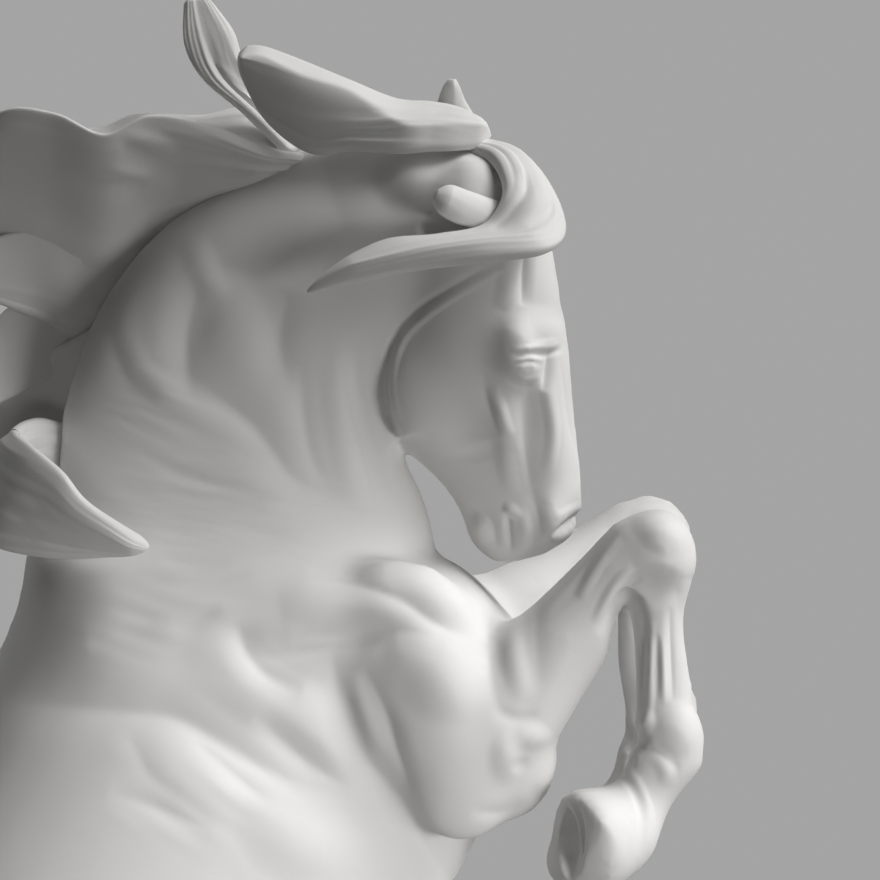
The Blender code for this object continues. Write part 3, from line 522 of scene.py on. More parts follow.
def islands(bm: bmesh.types.BMesh) -> list[list[bmesh.types.BMVert]]:
    """Find the separate bodies of a bmesh.

    Args:
        bm: The bmesh.

    Returns:
        A list of corners for each body.
    """
    bm.verts.ensure_lookup_table()
    bm.verts.index_update()
    seen = [False] * len(bm.verts)
    found = []
    for first in bm.verts:
        if seen[first.index]:
            continue
        seen[first.index] = True
        body = [first]
        for corner in body:
            for link in corner.link_edges:
                other = link.other_vert(corner)
                if not seen[other.index]:
                    seen[other.index] = True
                    body.append(other)
        found.append(body)
    return found


class Clay:
    """The whole body as one skin that takes tool strokes and is parted at the castings' seams."""

    GRAIN = 1.58 * MM
    SWELL = 0.2 * MM
    FLAT_SPAN = 6.5 * MM
    SMOOTHING_ROUNDS = 34
    SIGHT_SLACK = 1.2 * MM
    TWIN_REACH = 4.0 * MM
    RIM_MARGIN = 3.0 * MM
    EASING_ROUNDS = 3
    GIVE = 0.6
    LEAST_GIVE = 0.10
    GIVE_ROUNDS = 20
    REGAINS = 2
    SPLIT_EASE = 0.5
    DRAG_EASE = 0.4
    SHOWN_EASE = 0.25
    HIDDEN_EASE = 0.6
    CUT_SLACK = 0.0001 * MM

    def __init__(self, castings: Mapping[str, bpy.types.Object]) -> None:
        """Join the castings into one skin.

        Args:
            castings: The body's castings by node name.
        """
        self.castings = castings
        whole = bmesh.new()
        spans: list[tuple[Vector, float]] = []
        for node in castings.values():
            piece = merged(node)
            for corner in piece.verts:
                edges = [link.calc_length() for link in corner.link_edges]
                spans.append((corner.co.copy(), sum(edges) / len(edges)))
            for corner in piece.verts:
                corner.co += corner.normal * self.SWELL
            mesh = solid("casting", piece)
            whole.from_mesh(mesh)
            bpy.data.meshes.remove(mesh)
        skin = self.remeshed(whole)
        bm = bmesh.new()
        bm.from_mesh(skin)
        largest(bm)
        bm.to_mesh(skin)
        bm.free()
        self.mesh = skin
        self.spans = spans

    def remeshed(self, bm: bmesh.types.BMesh) -> bpy.types.Mesh:
        """Draw one even skin over closed bodies.

        Args:
            bm: The bodies, which are freed.

        Returns:
            The skin.
        """
        mesh = solid("clay", bm)
        body = put("clay", mesh)
        remesh = body.modifiers.new("Remesh", "REMESH")
        remesh.mode = "VOXEL"
        remesh.voxel_size = self.GRAIN
        graph = bpy.context.evaluated_depsgraph_get()
        skin = bpy.data.meshes.new_from_object(body.evaluated_get(graph))
        bpy.data.objects.remove(body)
        bpy.data.meshes.remove(mesh)
        return skin

    def places(self) -> np.ndarray:
        """Look up the skin's corners.

        Returns:
            One row of x, y and z for each corner.
        """
        flat = np.empty(len(self.mesh.vertices) * 3)
        self.mesh.vertices.foreach_get("co", flat)
        return flat.reshape(-1, 3)

    def normals(self) -> np.ndarray:
        """Look up the skin's normals.

        Returns:
            One row of x, y and z for each corner.
        """
        flat = np.empty(len(self.mesh.vertices) * 3, dtype=np.float32)
        self.mesh.vertex_normals.foreach_get("vector", flat)
        return flat.reshape(-1, 3).astype(float)

    def lay(self, places: np.ndarray) -> None:
        """Move the skin's corners to the given places."""
        self.mesh.vertices.foreach_set("co", places.astype(np.float32).ravel())
        self.mesh.update()

    def links(self) -> tuple[np.ndarray, np.ndarray, np.ndarray]:
        """Look up how the corners are joined.

        Returns:
            The two ends of every edge, and how many edges meet at each corner.
        """
        flat = np.empty(len(self.mesh.edges) * 2, dtype=np.int32)
        self.mesh.edges.foreach_get("vertices", flat)
        first, second = flat.reshape(-1, 2).T
        count = len(self.mesh.vertices)
        return first, second, np.bincount(first, minlength=count) + np.bincount(second, minlength=count)

    def evened(self, values: np.ndarray, weight: np.ndarray, rounds: int) -> np.ndarray:
        """Spread values over the skin.

        Args:
            values: One row for each corner.
            weight: How readily each corner gives way, up to 1.
            rounds: How often the values are spread.

        Returns:
            The spread values.
        """
        first, second, meets = self.links()
        count = len(values)
        result = values.copy()
        for _ in range(rounds):
            mean = np.empty_like(result)
            for axis in range(result.shape[1]):
                row = result[:, axis]
                mean[:, axis] = np.bincount(first, row[second], count)
                mean[:, axis] += np.bincount(second, row[first], count)
            result += weight[:, None] * (mean / meets[:, None] - result)
        return result

    def smooth(self) -> None:
        """Even out the castings' flats without thinning the limbs."""
        tree = KDTree(len(self.spans))
        for number, (place, _) in enumerate(self.spans):
            tree.insert(place, number)
        tree.balance()
        before = self.places()
        span = np.array([self.spans[tree.find(place)[1]][1] for place in before])
        weight = np.clip((span / self.FLAT_SPAN) ** 2, self.LEAST_GIVE, 1.0) * self.GIVE
        weight = self.evened(weight[:, None], np.full(len(weight), self.GIVE), self.GIVE_ROUNDS)[:, 0]
        soft = self.evened(before, weight, self.SMOOTHING_ROUNDS)
        for _ in range(self.REGAINS):
            soft += self.evened(before - soft, weight, self.SMOOTHING_ROUNDS)
        self.lay(soft)
        self.lay(soft - self.normals() * self.SWELL)

    def seen(self, among: np.ndarray | None = None) -> np.ndarray:
        """Return which corners the view reaches, inside its frame and past it.

        Args:
            among: Which corners are asked about, all of them if left out.

        Returns:
            True for each corner that is reached.
        """
        places = self.places()
        eye = Vector(VIEW.eye())
        self.mesh.calc_loop_triangles()
        flat = np.empty(len(self.mesh.loop_triangles) * 3, dtype=np.int32)
        self.mesh.loop_triangles.foreach_get("vertices", flat)
        tree = BVHTree.FromPolygons(places.tolist(), flat.reshape(-1, 3).tolist())
        shown = np.einsum("ij,ij->i", self.normals(), VIEW.eye() - places) > 0.0
        if among is not None:
            shown &= among
        for number in np.flatnonzero(shown):
            way = Vector(places[number]) - eye
            hit = tree.ray_cast(eye, way)
            shown[number] = hit[0] is not None and hit[3] > way.length - self.SIGHT_SLACK
        return shown

    def refine(self, box: Box) -> None:
        """Split the shown faces inside a box of the picture into four, and ease them.

        Args:
            box: The box's left, top, right and bottom in pixels.
        """
        pixels = VIEW.picture(self.places())
        chosen = self.seen((pixels > box[:2]).all(axis=1) & (pixels < box[2:]).all(axis=1))
        bm = bmesh.new()
        bm.from_mesh(self.mesh)
        bm.verts.ensure_lookup_table()
        faces = [face for face in bm.faces if all(chosen[corner.index] for corner in face.verts)]
        edges = list({link for face in faces for link in face.edges})
        bmesh.ops.subdivide_edges(bm, edges=edges, cuts=1, use_grid_fill=True)
        odd = [face for face in bm.faces if len(face.verts) > 4]
        bmesh.ops.triangulate(bm, faces=odd)
        bm.to_mesh(self.mesh)
        bm.free()
        self.mesh.update()
        places = self.places()
        self.lay(self.evened(places, np.full(len(places), self.SPLIT_EASE), self.EASING_ROUNDS))

    def drag(self, pulls: Sequence[Pull]) -> None:
        """Drag the skin across the picture.

        Args:
            pulls: The drags, in the order they are made.
        """
        for pull in pulls:
            places = self.places()
            pixels = VIEW.picture(places)
            give = pull.give(places, pixels)
            for number in np.flatnonzero(give):
                across, down = pixels[number] + give[number] * np.array(pull.shift)
                places[number] = VIEW.place(across, down, places[number][1] / MM)
            self.lay(places)
            self.lay(self.evened(places, self.DRAG_EASE * (give > 0.0), self.EASING_ROUNDS))

    def tool(self, strokes: Sequence[Mark], twins: Sequence[Twin]) -> None:
        """Work the strokes into the shown side, and their like into what the view doesn't reach.

        Args:
            strokes: The strokes, in the order they are made.
            twins: Where the hidden parts find their shown likes.
        """
        places = self.places()
        normals = self.normals()
        seen = self.seen()
        shown = np.flatnonzero(seen)
        pixels = VIEW.picture(places[shown])
        near = np.zeros(len(shown))
        for stroke in strokes:
            near += stroke.lift(pixels)
        lift = np.zeros(len(places))
        lift[shown] = near
        tree = KDTree(len(shown))
        for number in shown:
            tree.insert(places[number], number)
        tree.balance()
        hidden = np.flatnonzero(~seen)
        gaps = [np.linalg.norm(places[hidden] - twin.anchor, axis=1) for twin in twins]
        nearest = np.argmin(gaps, axis=0)
        for which, twin in enumerate(twins):
            group = hidden[nearest == which]
            for number, like in zip(group, twin.like(places[group])):
                _, found, gap = tree.find(like)
                lift[number] = lift[found] * max(0.0, 1.0 - (gap / self.TWIN_REACH) ** 2)
        ease = np.where(seen, self.SHOWN_EASE, self.HIDDEN_EASE)
        lift = self.evened(lift[:, None], ease, self.EASING_ROUNDS)[:, 0]
        self.lay(places + normals * lift[:, None])
        LOG.info("clay tooled with %d strokes on %d corners", len(strokes), len(shown))

    def part(self, seams: Sequence[Seam]) -> dict[str, bpy.types.Mesh]:
        """Part the clay at the seams.

        Args:
            seams: The flats to part it at.

        Returns:
            The parted skins by node name.
        """
        bm = bmesh.new()
        bm.from_mesh(self.mesh)
        faces = list(bm.faces)
        flat = np.empty(len(self.mesh.polygons) * 3)
        self.mesh.polygons.foreach_get("center", flat)
        centres = flat.reshape(-1, 3)
        rims: set[bmesh.types.BMFace] = set()
        for seam in seams:
            off = centres - seam.middle
            close = np.abs(off @ seam.normal) < 2.0 * self.GRAIN
            close &= np.linalg.norm(off, axis=1) < seam.reach * Seam.MARGIN + self.RIM_MARGIN
            near = {faces[i] for i in np.flatnonzero(close)} | {face for face in rims if face.is_valid}
            band = [face for face in near if face.is_valid and seam.crosses(face)]
            rims |= self.cut(bm, self.ring(band, seam), seam)
        tree = KDTree(len(bm.verts))
        bodies = islands(bm)
        labels = [0] * len(bm.verts)
        for label, body in enumerate(bodies):
            for corner in body:
                labels[corner.index] = label
                tree.insert(corner.co, corner.index)
        tree.balance()
        pieces = {}
        for name, node in self.castings.items():
            votes = [labels[tree.find(corner.co)[1]] for corner in node.data.vertices]
            label = max(set(votes), key=votes.count)
            pieces[name] = self.lifted(bm, labels, label)
        bm.free()
        if len(bodies) != len(pieces):
            LOG.warning("the clay fell into %d bodies, not %d", len(bodies), len(pieces))
        return pieces

    @staticmethod
    def ring(faces: Sequence[bmesh.types.BMFace], seam: Seam) -> list[bmesh.types.BMFace]:
        """Sort faces into joined rings and pick one.

        Args:
            faces: The faces that the seam crosses.
            seam: The seam.

        Returns:
            The ring that lies nearest the seam's middle.
        """
        left = set(faces)
        rings = []
        while left:
            ring = [left.pop()]
            for face in ring:
                for link in face.edges:
                    for other in link.link_faces:
                        if other in left:
                            left.remove(other)
                            ring.append(other)
            rings.append(ring)
        middle = Vector(seam.middle)

        def away(ring: Sequence[bmesh.types.BMFace]) -> float:
            """Return how far a ring's middle lies from the seam's."""
            return (sum((face.calc_center_median() for face in ring), Vector()) / len(ring) - middle).length

        return min(rings, key=away)

    @staticmethod
    def cut(
        bm: bmesh.types.BMesh, faces: Sequence[bmesh.types.BMFace], seam: Seam
    ) -> set[bmesh.types.BMFace]:
        """Cut a ring of faces at a seam, part it by a hairline and close both sides.

        Args:
            bm: The bmesh that the faces belong to.
            faces: The ring.
            seam: The flat to cut at.

        Returns:
            The faces along the cut and those that close its two sides.
        """
        edges = {link for face in faces for link in face.edges}
        corners = {corner for face in faces for corner in face.verts}
        made = bmesh.ops.bisect_plane(
            bm, geom=[*corners, *edges, *faces], dist=Clay.CUT_SLACK,
            plane_co=Vector(seam.middle), plane_no=Vector(seam.normal),
        )
        line = [link for link in made["geom_cut"] if isinstance(link, bmesh.types.BMEdge)]
        bmesh.ops.split_edges(bm, edges=line)
        rims = [link for link in bm.edges if link.is_boundary]
        normal = Vector(seam.normal)
        corners = {corner for link in rims for corner in link.verts}
        for corner in corners:
            lean = sum((f.calc_center_median() - Vector(seam.middle)).dot(normal) for f in corner.link_faces)
            corner.co += normal * math.copysign(HAIRLINE / 2.0, lean)
        caps = bmesh.ops.holes_fill(bm, edges=rims, sides=0)["faces"]
        bmesh.ops.triangulate(bm, faces=caps)
        return {face for corner in corners for face in corner.link_faces}

    @staticmethod
    def lifted(bm: bmesh.types.BMesh, labels: Sequence[int], label: int) -> bpy.types.Mesh:
        """Lift one body out of the parted clay.

        Args:
            bm: The parted clay.
            labels: Which body each corner belongs to.
            label: The body that is wanted.

        Returns:
            Its mesh.
        """
        alone = bm.copy()
        alone.verts.ensure_lookup_table()
        rest = [corner for corner in alone.verts if labels[corner.index] != label]
        bmesh.ops.delete(alone, geom=rest, context="VERTS")
        return solid("piece", alone)


@dataclass(frozen=True)
class Finish:
    """One finish of the unglazed porcelain."""

    name: str
    slot: str
    colour: Colour
    recess: Colour
    roughness: float
    grain: float
    relief: float

    SHINE = 0.28
    GRAIN_HEIGHT = 0.0002

    def made(self) -> bpy.types.Material:
        """Mix the finish.

        Returns:
            Its material.
        """
        material = bpy.data.materials.new(self.name)
        material.use_nodes = True
        tree = material.node_tree
        shader = tree.nodes["Principled BSDF"]
        shader.inputs["Specular IOR Level"].default_value = self.SHINE
        group = tree.nodes.new("ShaderNodeGroup")
        group.node_tree = biscuit()
        group.inputs["Pale"].default_value = (*self.colour, 1.0)
        group.inputs["Deep"].default_value = (*self.recess, 1.0)
        group.inputs["Grain"].default_value = self.grain
        group.inputs["Roughness"].default_value = self.roughness
        bump = tree.nodes.new("ShaderNodeBump")
        bump.inputs["Strength"].default_value = self.relief
        bump.inputs["Distance"].default_value = self.GRAIN_HEIGHT
        tree.links.new(group.outputs["Color"], shader.inputs["Base Color"])
        tree.links.new(group.outputs["Roughness"], shader.inputs["Roughness"])
        tree.links.new(group.outputs["Height"], bump.inputs["Height"])
        tree.links.new(bump.outputs["Normal"], shader.inputs["Normal"])
        return material


def biscuit() -> bpy.types.NodeTree:
    """Set up the fine grain and faint clouding of unglazed porcelain, once.

    Returns:
        The node group.
    """
    known = bpy.data.node_groups.get("biscuit_surface")
    if known:
        return known
    group = bpy.data.node_groups.new("biscuit_surface", "ShaderNodeTree")
    sockets = (
        ("Pale", "INPUT", "Color"), ("Deep", "INPUT", "Color"), ("Grain", "INPUT", "Float"),
        ("Roughness", "INPUT", "Float"), ("Color", "OUTPUT", "Color"), ("Roughness", "OUTPUT", "Float"),
        ("Height", "OUTPUT", "Float"),
    )
    for name, way, kind in sockets:
        group.interface.new_socket(name, in_out=way, socket_type=f"NodeSocket{kind}")
    nodes, links = group.nodes, group.links
    entry = nodes.new("NodeGroupInput")
    leave = nodes.new("NodeGroupOutput")
    where = nodes.new("ShaderNodeTexCoord")
    grain = nodes.new("ShaderNodeTexNoise")
    grain.inputs["Detail"].default_value = 3.0
    links.new(where.outputs["Object"], grain.inputs["Vector"])
    links.new(entry.outputs["Grain"], grain.inputs["Scale"])
    cloud = nodes.new("ShaderNodeTexNoise")
    cloud.inputs["Scale"].default_value = 28.0
    cloud.inputs["Detail"].default_value = 2.0
    links.new(where.outputs["Object"], cloud.inputs["Vector"])
    spread = nodes.new("ShaderNodeMapRange")
    spread.inputs["From Min"].default_value = 0.35
    spread.inputs["From Max"].default_value = 0.65
    links.new(cloud.outputs["Fac"], spread.inputs["Value"])
    tone = nodes.new("ShaderNodeMix")
    tone.data_type = "RGBA"
    links.new(spread.outputs["Result"], tone.inputs["Factor"])
    links.new(entry.outputs["Deep"], tone.inputs["A"])
    links.new(entry.outputs["Pale"], tone.inputs["B"])
    links.new(tone.outputs["Result"], leave.inputs["Color"])
    shift = nodes.new("ShaderNodeMath")
    shift.operation = "MULTIPLY_ADD"
    shift.inputs[1].default_value = 0.12
    links.new(grain.outputs["Fac"], shift.inputs[0])
    links.new(entry.outputs["Roughness"], shift.inputs[2])
    links.new(shift.outputs["Value"], leave.inputs["Roughness"])
    links.new(grain.outputs["Fac"], leave.inputs["Height"])
    return group


BODY_FINISH = Finish(
    "body_biscuit", "body_porcelain", colour=(0.80, 0.79, 0.775), recess=(0.775, 0.765, 0.75),
    roughness=0.52, grain=2600.0, relief=0.10,
)
HAIR_FINISH = Finish(
    "hair_biscuit", "hair_porcelain", colour=(0.79, 0.78, 0.765), recess=(0.755, 0.745, 0.73),
    roughness=0.56, grain=2200.0, relief=0.16,
)
GROUND_FINISH = Finish(
    "ground_biscuit", "ground_porcelain", colour=(0.78, 0.77, 0.755), recess=(0.74, 0.73, 0.715),
    roughness=0.58, grain=1400.0, relief=0.3,
)
SHARP_EDGE = math.radians(55.0)


def show(
    name: str, mesh: bpy.types.Mesh, finish: bpy.types.Material, node: str
) -> bpy.types.Object:
    """Put a piece in the scene in place of a casting.

    Args:
        name: The piece's name.
        mesh: Its mesh, placed in the frame.
        finish: Its material.
        node: The casting it stands for.

    Returns:
        The piece's object.
    """
    mesh.shade_smooth()
    mesh.set_sharp_from_angle(angle=SHARP_EDGE)
    mesh.materials.clear()
    mesh.materials.append(finish)
    piece = put(name, mesh)
    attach(piece, "root")
    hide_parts(node)
    LOG.info("%s: %d faces", name, len(mesh.polygons))
    return piece


# In pairs: the throat's apex, the gap in the right fore leg, the right hoof, the left cannon and hoof
PULLS = (
    Pull((424, 464), (36, 36), (-10.0, -9.0)),
    Pull((415, 456), (30, 30), (-10.0, -9.0)),
    Pull((627, 642), (30, 50), (0.0, -19.0), Side.RIGHT),
    Pull((627, 626), (28, 44), (0.0, -19.0), Side.RIGHT),
    Pull((582, 868), (44, 44), (-14.0, 2.0), Side.RIGHT),
    Pull((570, 862), (40, 54), (-13.0, 2.0), Side.RIGHT),
    Pull((640, 650), (60, 90), (-15.0, 0.0), Side.LEFT),
    Pull((585, 785), (60, 50), (22.0, 12.0), Side.LEFT),
)


@dataclass
class Body:
    """The castings of the body, the pairs that meet at a seam, and the picture's boxes of finer skin."""

    names: tuple[str, ...] = (
        "torso", "neck", "head", "right_forearm", "right_fore_shank", "left_forearm", "left_fore_shank",
        "right_hind_shank", "left_hind_shank",
    )
    joins: tuple[tuple[str, str], ...] = (
        ("torso", "neck"), ("neck", "head"),
        ("torso", "right_forearm"), ("right_forearm", "right_fore_shank"),
        ("torso", "left_forearm"), ("left_forearm", "left_fore_shank"),
        ("torso", "right_hind_shank"), ("torso", "left_hind_shank"),
    )
    fine: tuple[Box, ...] = (
        (10, -40, 900, 900), (380, 235, 605, 575), (545, 490, 715, 900),
    )

    def build(self, strokes: Sequence[Mark], twins: Sequence[Twin], finish: bpy.types.Material) -> None:
        """Model the clay, tool it, part it and show the pieces.

        Args:
            strokes: The strokes that the clay is tooled with.
            twins: Where the hidden parts find their shown likes.
            finish: The pieces' material.
        """
        castings = {name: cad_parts[name] for name in self.names}
        clay = Clay(castings)
        clay.smooth()
        for box in self.fine:
            clay.refine(box)
        clay.drag(PULLS)
        clay.tool(strokes, twins)
        seams = [Seam.between(castings[first], castings[second]) for first, second in self.joins]
        for name, mesh in clay.part(seams).items():
            show(f"{name}_cast", mesh, finish, name)


@dataclass(frozen=True)
class Lock:
    """A lock of hair drawn out between two edges.

    Edges are picture points with their y, from root to tip. Comb gives the waves of the strands: how high and
    how often, where they start and how much they sway. Ridge gives where the crown lies across the
    front, from -1 at the lower edge to 1 at the upper one, at even stops along the lock. Thickness, crown,
    hollow and depth, which is that of the strands, are heights. Front is the side of the horse that the
    lock's front looks to.
    """

    node: str
    upper: tuple[Place, ...]
    lower: tuple[Place, ...]
    thickness: float
    ridge: tuple[float, ...] = (0.0, 0.0)
    crown: float = 0.0
    hollow: float = 0.0
    strands: float = 3.0
    depth: float = 0.25
    front: Side = Side.RIGHT
    strokes: tuple[Mark, ...] = ()

    ROWS = 120
    RING = 96
    SQUARE = 3.0
    END = 0.05
    ROOT = 0.18
    TIP_WIDTH = 0.2
    THIN_FROM = 1.6
    SLIM_FROM = 4.0 * MM
    CROWN_ROUND = 0.012
    COMB = ((1.0, 1.0, 0.0, 0.0), (0.6, 1.7, 1.1, 2.0), (0.4, 3.3, 0.4, 0.0))

    def mesh(self) -> bpy.types.Mesh:
        """Draw the lock out of a tube.

        Returns:
            The lock as a closed mesh.
        """
        bm = bmesh.new()
        bmesh.ops.create_cone(
            bm, cap_ends=True, cap_tris=False, segments=self.RING, radius1=1.0, radius2=1.0, depth=1.0
        )
        sides = [link for link in bm.edges if abs(link.verts[0].co.z - link.verts[1].co.z) > 0.5]
        bmesh.ops.subdivide_edges(bm, edges=sides, cuts=self.ROWS, use_grid_fill=True)
        bm.verts.ensure_lookup_table()
        corners = np.array([corner.co for corner in bm.verts])
        share = np.clip(corners[:, 2] + 0.5, 0.0, 1.0)
        turn = np.arctan2(corners[:, 1], corners[:, 0])
        for corner, place in zip(bm.verts, self.warped(share, turn)):
            corner.co = place
        bmesh.ops.recalc_face_normals(bm, faces=bm.faces)
        return solid(self.node, bm)

    def warped(self, share: np.ndarray, turn: np.ndarray) -> np.ndarray:
        """Return where the tube's corners go.

        Args:
            share: How far along the lock each corner lies, up to 1.
            turn: The corner's angle round the tube.

        Returns:
            One row of x, y and z for each corner.
        """
        upper = np.array([VIEW.place(*point) for point in self.upper])
        lower = np.array([VIEW.place(*point) for point in self.lower])
        high, low = curve(upper, share), curve(lower, share)
        spine = (upper + lower) / 2.0
        along = curve(spine, share + 0.01) - curve(spine, share - 0.01)
        half = (high - low) / 2.0
        facing = unit(np.cross(unit(along), half))
        facing *= np.copysign(1.0, facing[:, 1:2] * self.front.value)
        to_end = np.clip(np.maximum(share - 1.0, -share) + self.END, 0.0, 1.0)
        round_off = np.sqrt(np.clip(1.0 - (to_end / (1.01 * self.END)) ** 2, 0.0, 1.0))
        width = np.linalg.norm(half, axis=1)
        power = 2.0 / self.SQUARE
        across = np.copysign(np.abs(np.cos(turn)) ** power, np.cos(turn))
        face = np.copysign(np.abs(np.sin(turn)) ** power, np.sin(turn))
        thin = np.minimum(1.0, width / (self.THIN_FROM * self.thickness * MM))
        thick = self.thickness * MM * thin * round_off
        slim = np.minimum(1.0, width / self.SLIM_FROM) * round_off
        lift = thick * face + slim * self.relief(share, across, np.maximum(face, 0.0))
        middle = (high + low) / 2.0
        spread = across * (self.TIP_WIDTH + (1.0 - self.TIP_WIDTH) * round_off)
        places = middle + half * spread[:, None] + facing * lift[:, None]
        pixels = VIEW.picture(places)
        drawn = np.zeros(len(places))
        for stroke in self.strokes:
            drawn += stroke.lift(pixels)
        return places + facing * (drawn * np.maximum(face, 0.0))[:, None]

    def relief(self, share: np.ndarray, across: np.ndarray, face: np.ndarray) -> np.ndarray:
        """Return the crown, the hollow and the strands of the front.

        Args:
            share: How far along the lock each corner lies, up to 1.
            across: Where it lies across, from -1 to 1.
            face: How far it belongs to the front, from 0 to 1.

        Returns:
            How far each corner is lifted, in metres.
        """
        top = curve(np.array(self.ridge, dtype=float)[:, None], share)[:, 0]
        slope = np.where(across > top, (across - top) / (1.001 - top), (top - across) / (1.001 + top))
        roof = 1.0 - np.sqrt(slope**2 + self.CROWN_ROUND)
        turn = self.strands * math.pi * (across + 0.22 * np.sin(4.2 * share + 1.3))
        comb = np.zeros(len(share))
        for gain, often, start, sway in self.COMB:
            comb += gain * np.cos(often * turn + start + sway * share)
        fade = 0.55 + 0.45 * np.sin(5.0 * share + 2.4 * across)
        rise = np.clip(share / self.ROOT, 0.0, 1.0)
        shape = (self.crown * roof + 0.5 * self.depth * comb * fade) * rise**2 * (3.0 - 2.0 * rise)
        return MM * (face * shape + self.hollow * (across**2 - 0.4))


def ribbon(
    path: Sequence[Place], half_widths: Sequence[float]
) -> tuple[tuple[Place, ...], tuple[Place, ...]]:
    """Draw a ribbon along a path.

    Args:
        path: Picture points with their y.
        half_widths: Half the ribbon's breadth at each point, in pixels.

    Returns:
        The ribbon's upper and lower edge.
    """
    upper, lower = [], []
    last = len(path) - 1
    for i, (across, down, out) in enumerate(path):
        behind, ahead = path[max(i - 1, 0)], path[min(i + 1, last)]
        run = math.hypot(ahead[0] - behind[0], ahead[1] - behind[1])
        right = (ahead[1] - behind[1]) / run * half_widths[i]
        down_by = (behind[0] - ahead[0]) / run * half_widths[i]
        upper.append((across + right, down + down_by, out))
        lower.append((across - right, down - down_by, out))
    return tuple(upper), tuple(lower)


def tail_path(*places: Place) -> tuple[Place, ...]:
    """Return places in millimetres as picture points with their y."""
    pixels = VIEW.picture(np.array(places) * MM)
    return tuple((float(across), float(down), out) for (across, down), (_, out, _) in zip(pixels, places))


MANE = (
    Lock("poll_lock",
         ((491, 134, -17), (478, 124, -15), (456, 110, -14), (430, 104, -15), (395, 100, -19), (350, 80, -23),
          (300, 59, -25), (262, 46, -26), (242, 47, -26)),
         ((491, 137, -19), (478, 145, -24), (458, 148, -28), (432, 149, -30), (400, 152, -31),
          (352, 151, -28), (308, 153, -24), (262, 116, -22), (236, 60, -24)),
         thickness=2.2, ridge=(-0.6, -0.6, -0.6, -0.65, -0.5, 0.5, 0.7, 0.85, 0.6), crown=4.0, strands=4.0,
         depth=0.4),
    Lock("upright_lock",
         ((306, 146, -8), (264, 100, -6), (243, 60, -5), (232, 30, -4), (206, -3, -3)),
         ((288, 156, -12), (244, 114, -10), (203, 80, -8), (184, 44, -7), (184, -1, -5)),
         thickness=2.0, ridge=(0.6, 0.6), crown=1.2, hollow=1.0, depth=0.5),
    Lock("crest_wave",
         ((322, 158, -17), (270, 148, -22), (210, 125, -25), (150, 115, -27), (104, 134, -28), (54, 113, -28),
          (0, 112, -27), (-62, 165, -16)),
         ((326, 170, -15), (268, 194, -14), (200, 230, -8), (150, 268, 0), (104, 304, 5), (52, 296, 6),
          (0, 260, 2), (-66, 176, -12)),
         thickness=1.6, ridge=(0.85, 0.8), crown=1.3, strands=4.0, depth=0.8,
         strokes=(Bump(1.2, (32, 14), 12, (150, 142)), Bump(1.0, (44, 10), 8, (140, 174)),
                  crease(0.8, 12, (120, 152), (160, 158), (215, 160)),
                  crease(0.7, 10, (70, 180), (110, 188), (150, 184)))),
    Lock("crest_fall",
         ((216, 214, -8), (170, 222, -7), (120, 228, -7), (60, 228, -7), (0, 236, -7), (-70, 262, -10)),
         ((200, 258, 2), (150, 300, 4), (112, 338, 7), (82, 345, 9), (40, 320, 8), (-74, 276, -6)),
         thickness=1.6, ridge=(0.5, 0.5), crown=0.8, strands=4.0, depth=0.6),
    Lock("back_wave",
         ((290, 150, -6), (250, 110, 2), (200, 117, 4), (140, 115, 4), (95, 130, 4), (8, 132, 0)),
         ((296, 168, -8), (262, 152, -9), (200, 152, -8), (140, 154, -7), (95, 158, -7), (6, 144, -6)),
         thickness=1.8),
    Lock("withers_lock",
         ((84, 430, 2), (40, 418, -8), (16, 430, -20), (34, 448, -30), (62, 472, -36), (84, 500, -38),
          (118, 525, -39), (150, 545, -38)),
         ((66, 474, 2), (20, 505, -8), (-18, 522, -12), (-4, 546, -18), (36, 556, -23), (70, 558, -26),
          (114, 555, -31), (146, 552, -36)),
         thickness=2.0, ridge=(0.75, 0.75), crown=1.2, strands=5.0, depth=0.7),
    Lock("forelock",
         ((458, 150, -20), (488, 156, -27), (501, 174, -33), (502, 197, -37), (480, 228, -38),
          (430, 239, -40), (385, 242, -41), (345, 262, -41), (308, 289, -42)),
         ((478, 140, -18), (523, 161, -20), (552, 194, -27), (565, 233, -36), (545, 251, -46),
          (490, 258, -49), (420, 268, -48), (352, 282, -46), (306, 294, -43)),
         thickness=2.4, ridge=(-0.3, -0.2, 0.0, 0.0, -0.5, -0.6, -0.5, -0.3, -0.1), crown=1.5, depth=0.4,
         strokes=(crease(1.1, 12, (522, 170), (526, 190), (510, 212), (490, 230)),
                  crease(0.9, 10, (553, 203), (543, 214), (527, 224)))),
    Lock("left_upper_lock",
         *ribbon(((280, 184, -9), (226, 190, 0), (166, 212, 5), (104, 246, 6), (34, 294, 2)),
                 (20, 40, 46, 38, 7)),
         thickness=2.2, ridge=(0.2, 0.2), crown=0.8, strands=4.0, depth=0.6, front=Side.LEFT),
    Lock("left_middle_lock",
         *ribbon(((186, 250, -4), (134, 276, 6), (78, 312, 11), (14, 356, 11), (-52, 420, 5)),
                 (20, 40, 46, 38, 7)),
         thickness=2.2, ridge=(0.2, 0.2), crown=0.8, strands=4.0, depth=0.6, front=Side.LEFT),
    Lock("left_lower_lock",
         *ribbon(((116, 336, 0), (78, 380, 11), (38, 426, 17), (-14, 476, 19), (-74, 536, 15)),
                 (20, 40, 44, 36, 7)),
         thickness=2.2, ridge=(0.2, 0.2), crown=0.8, strands=4.0, depth=0.6, front=Side.LEFT),
)
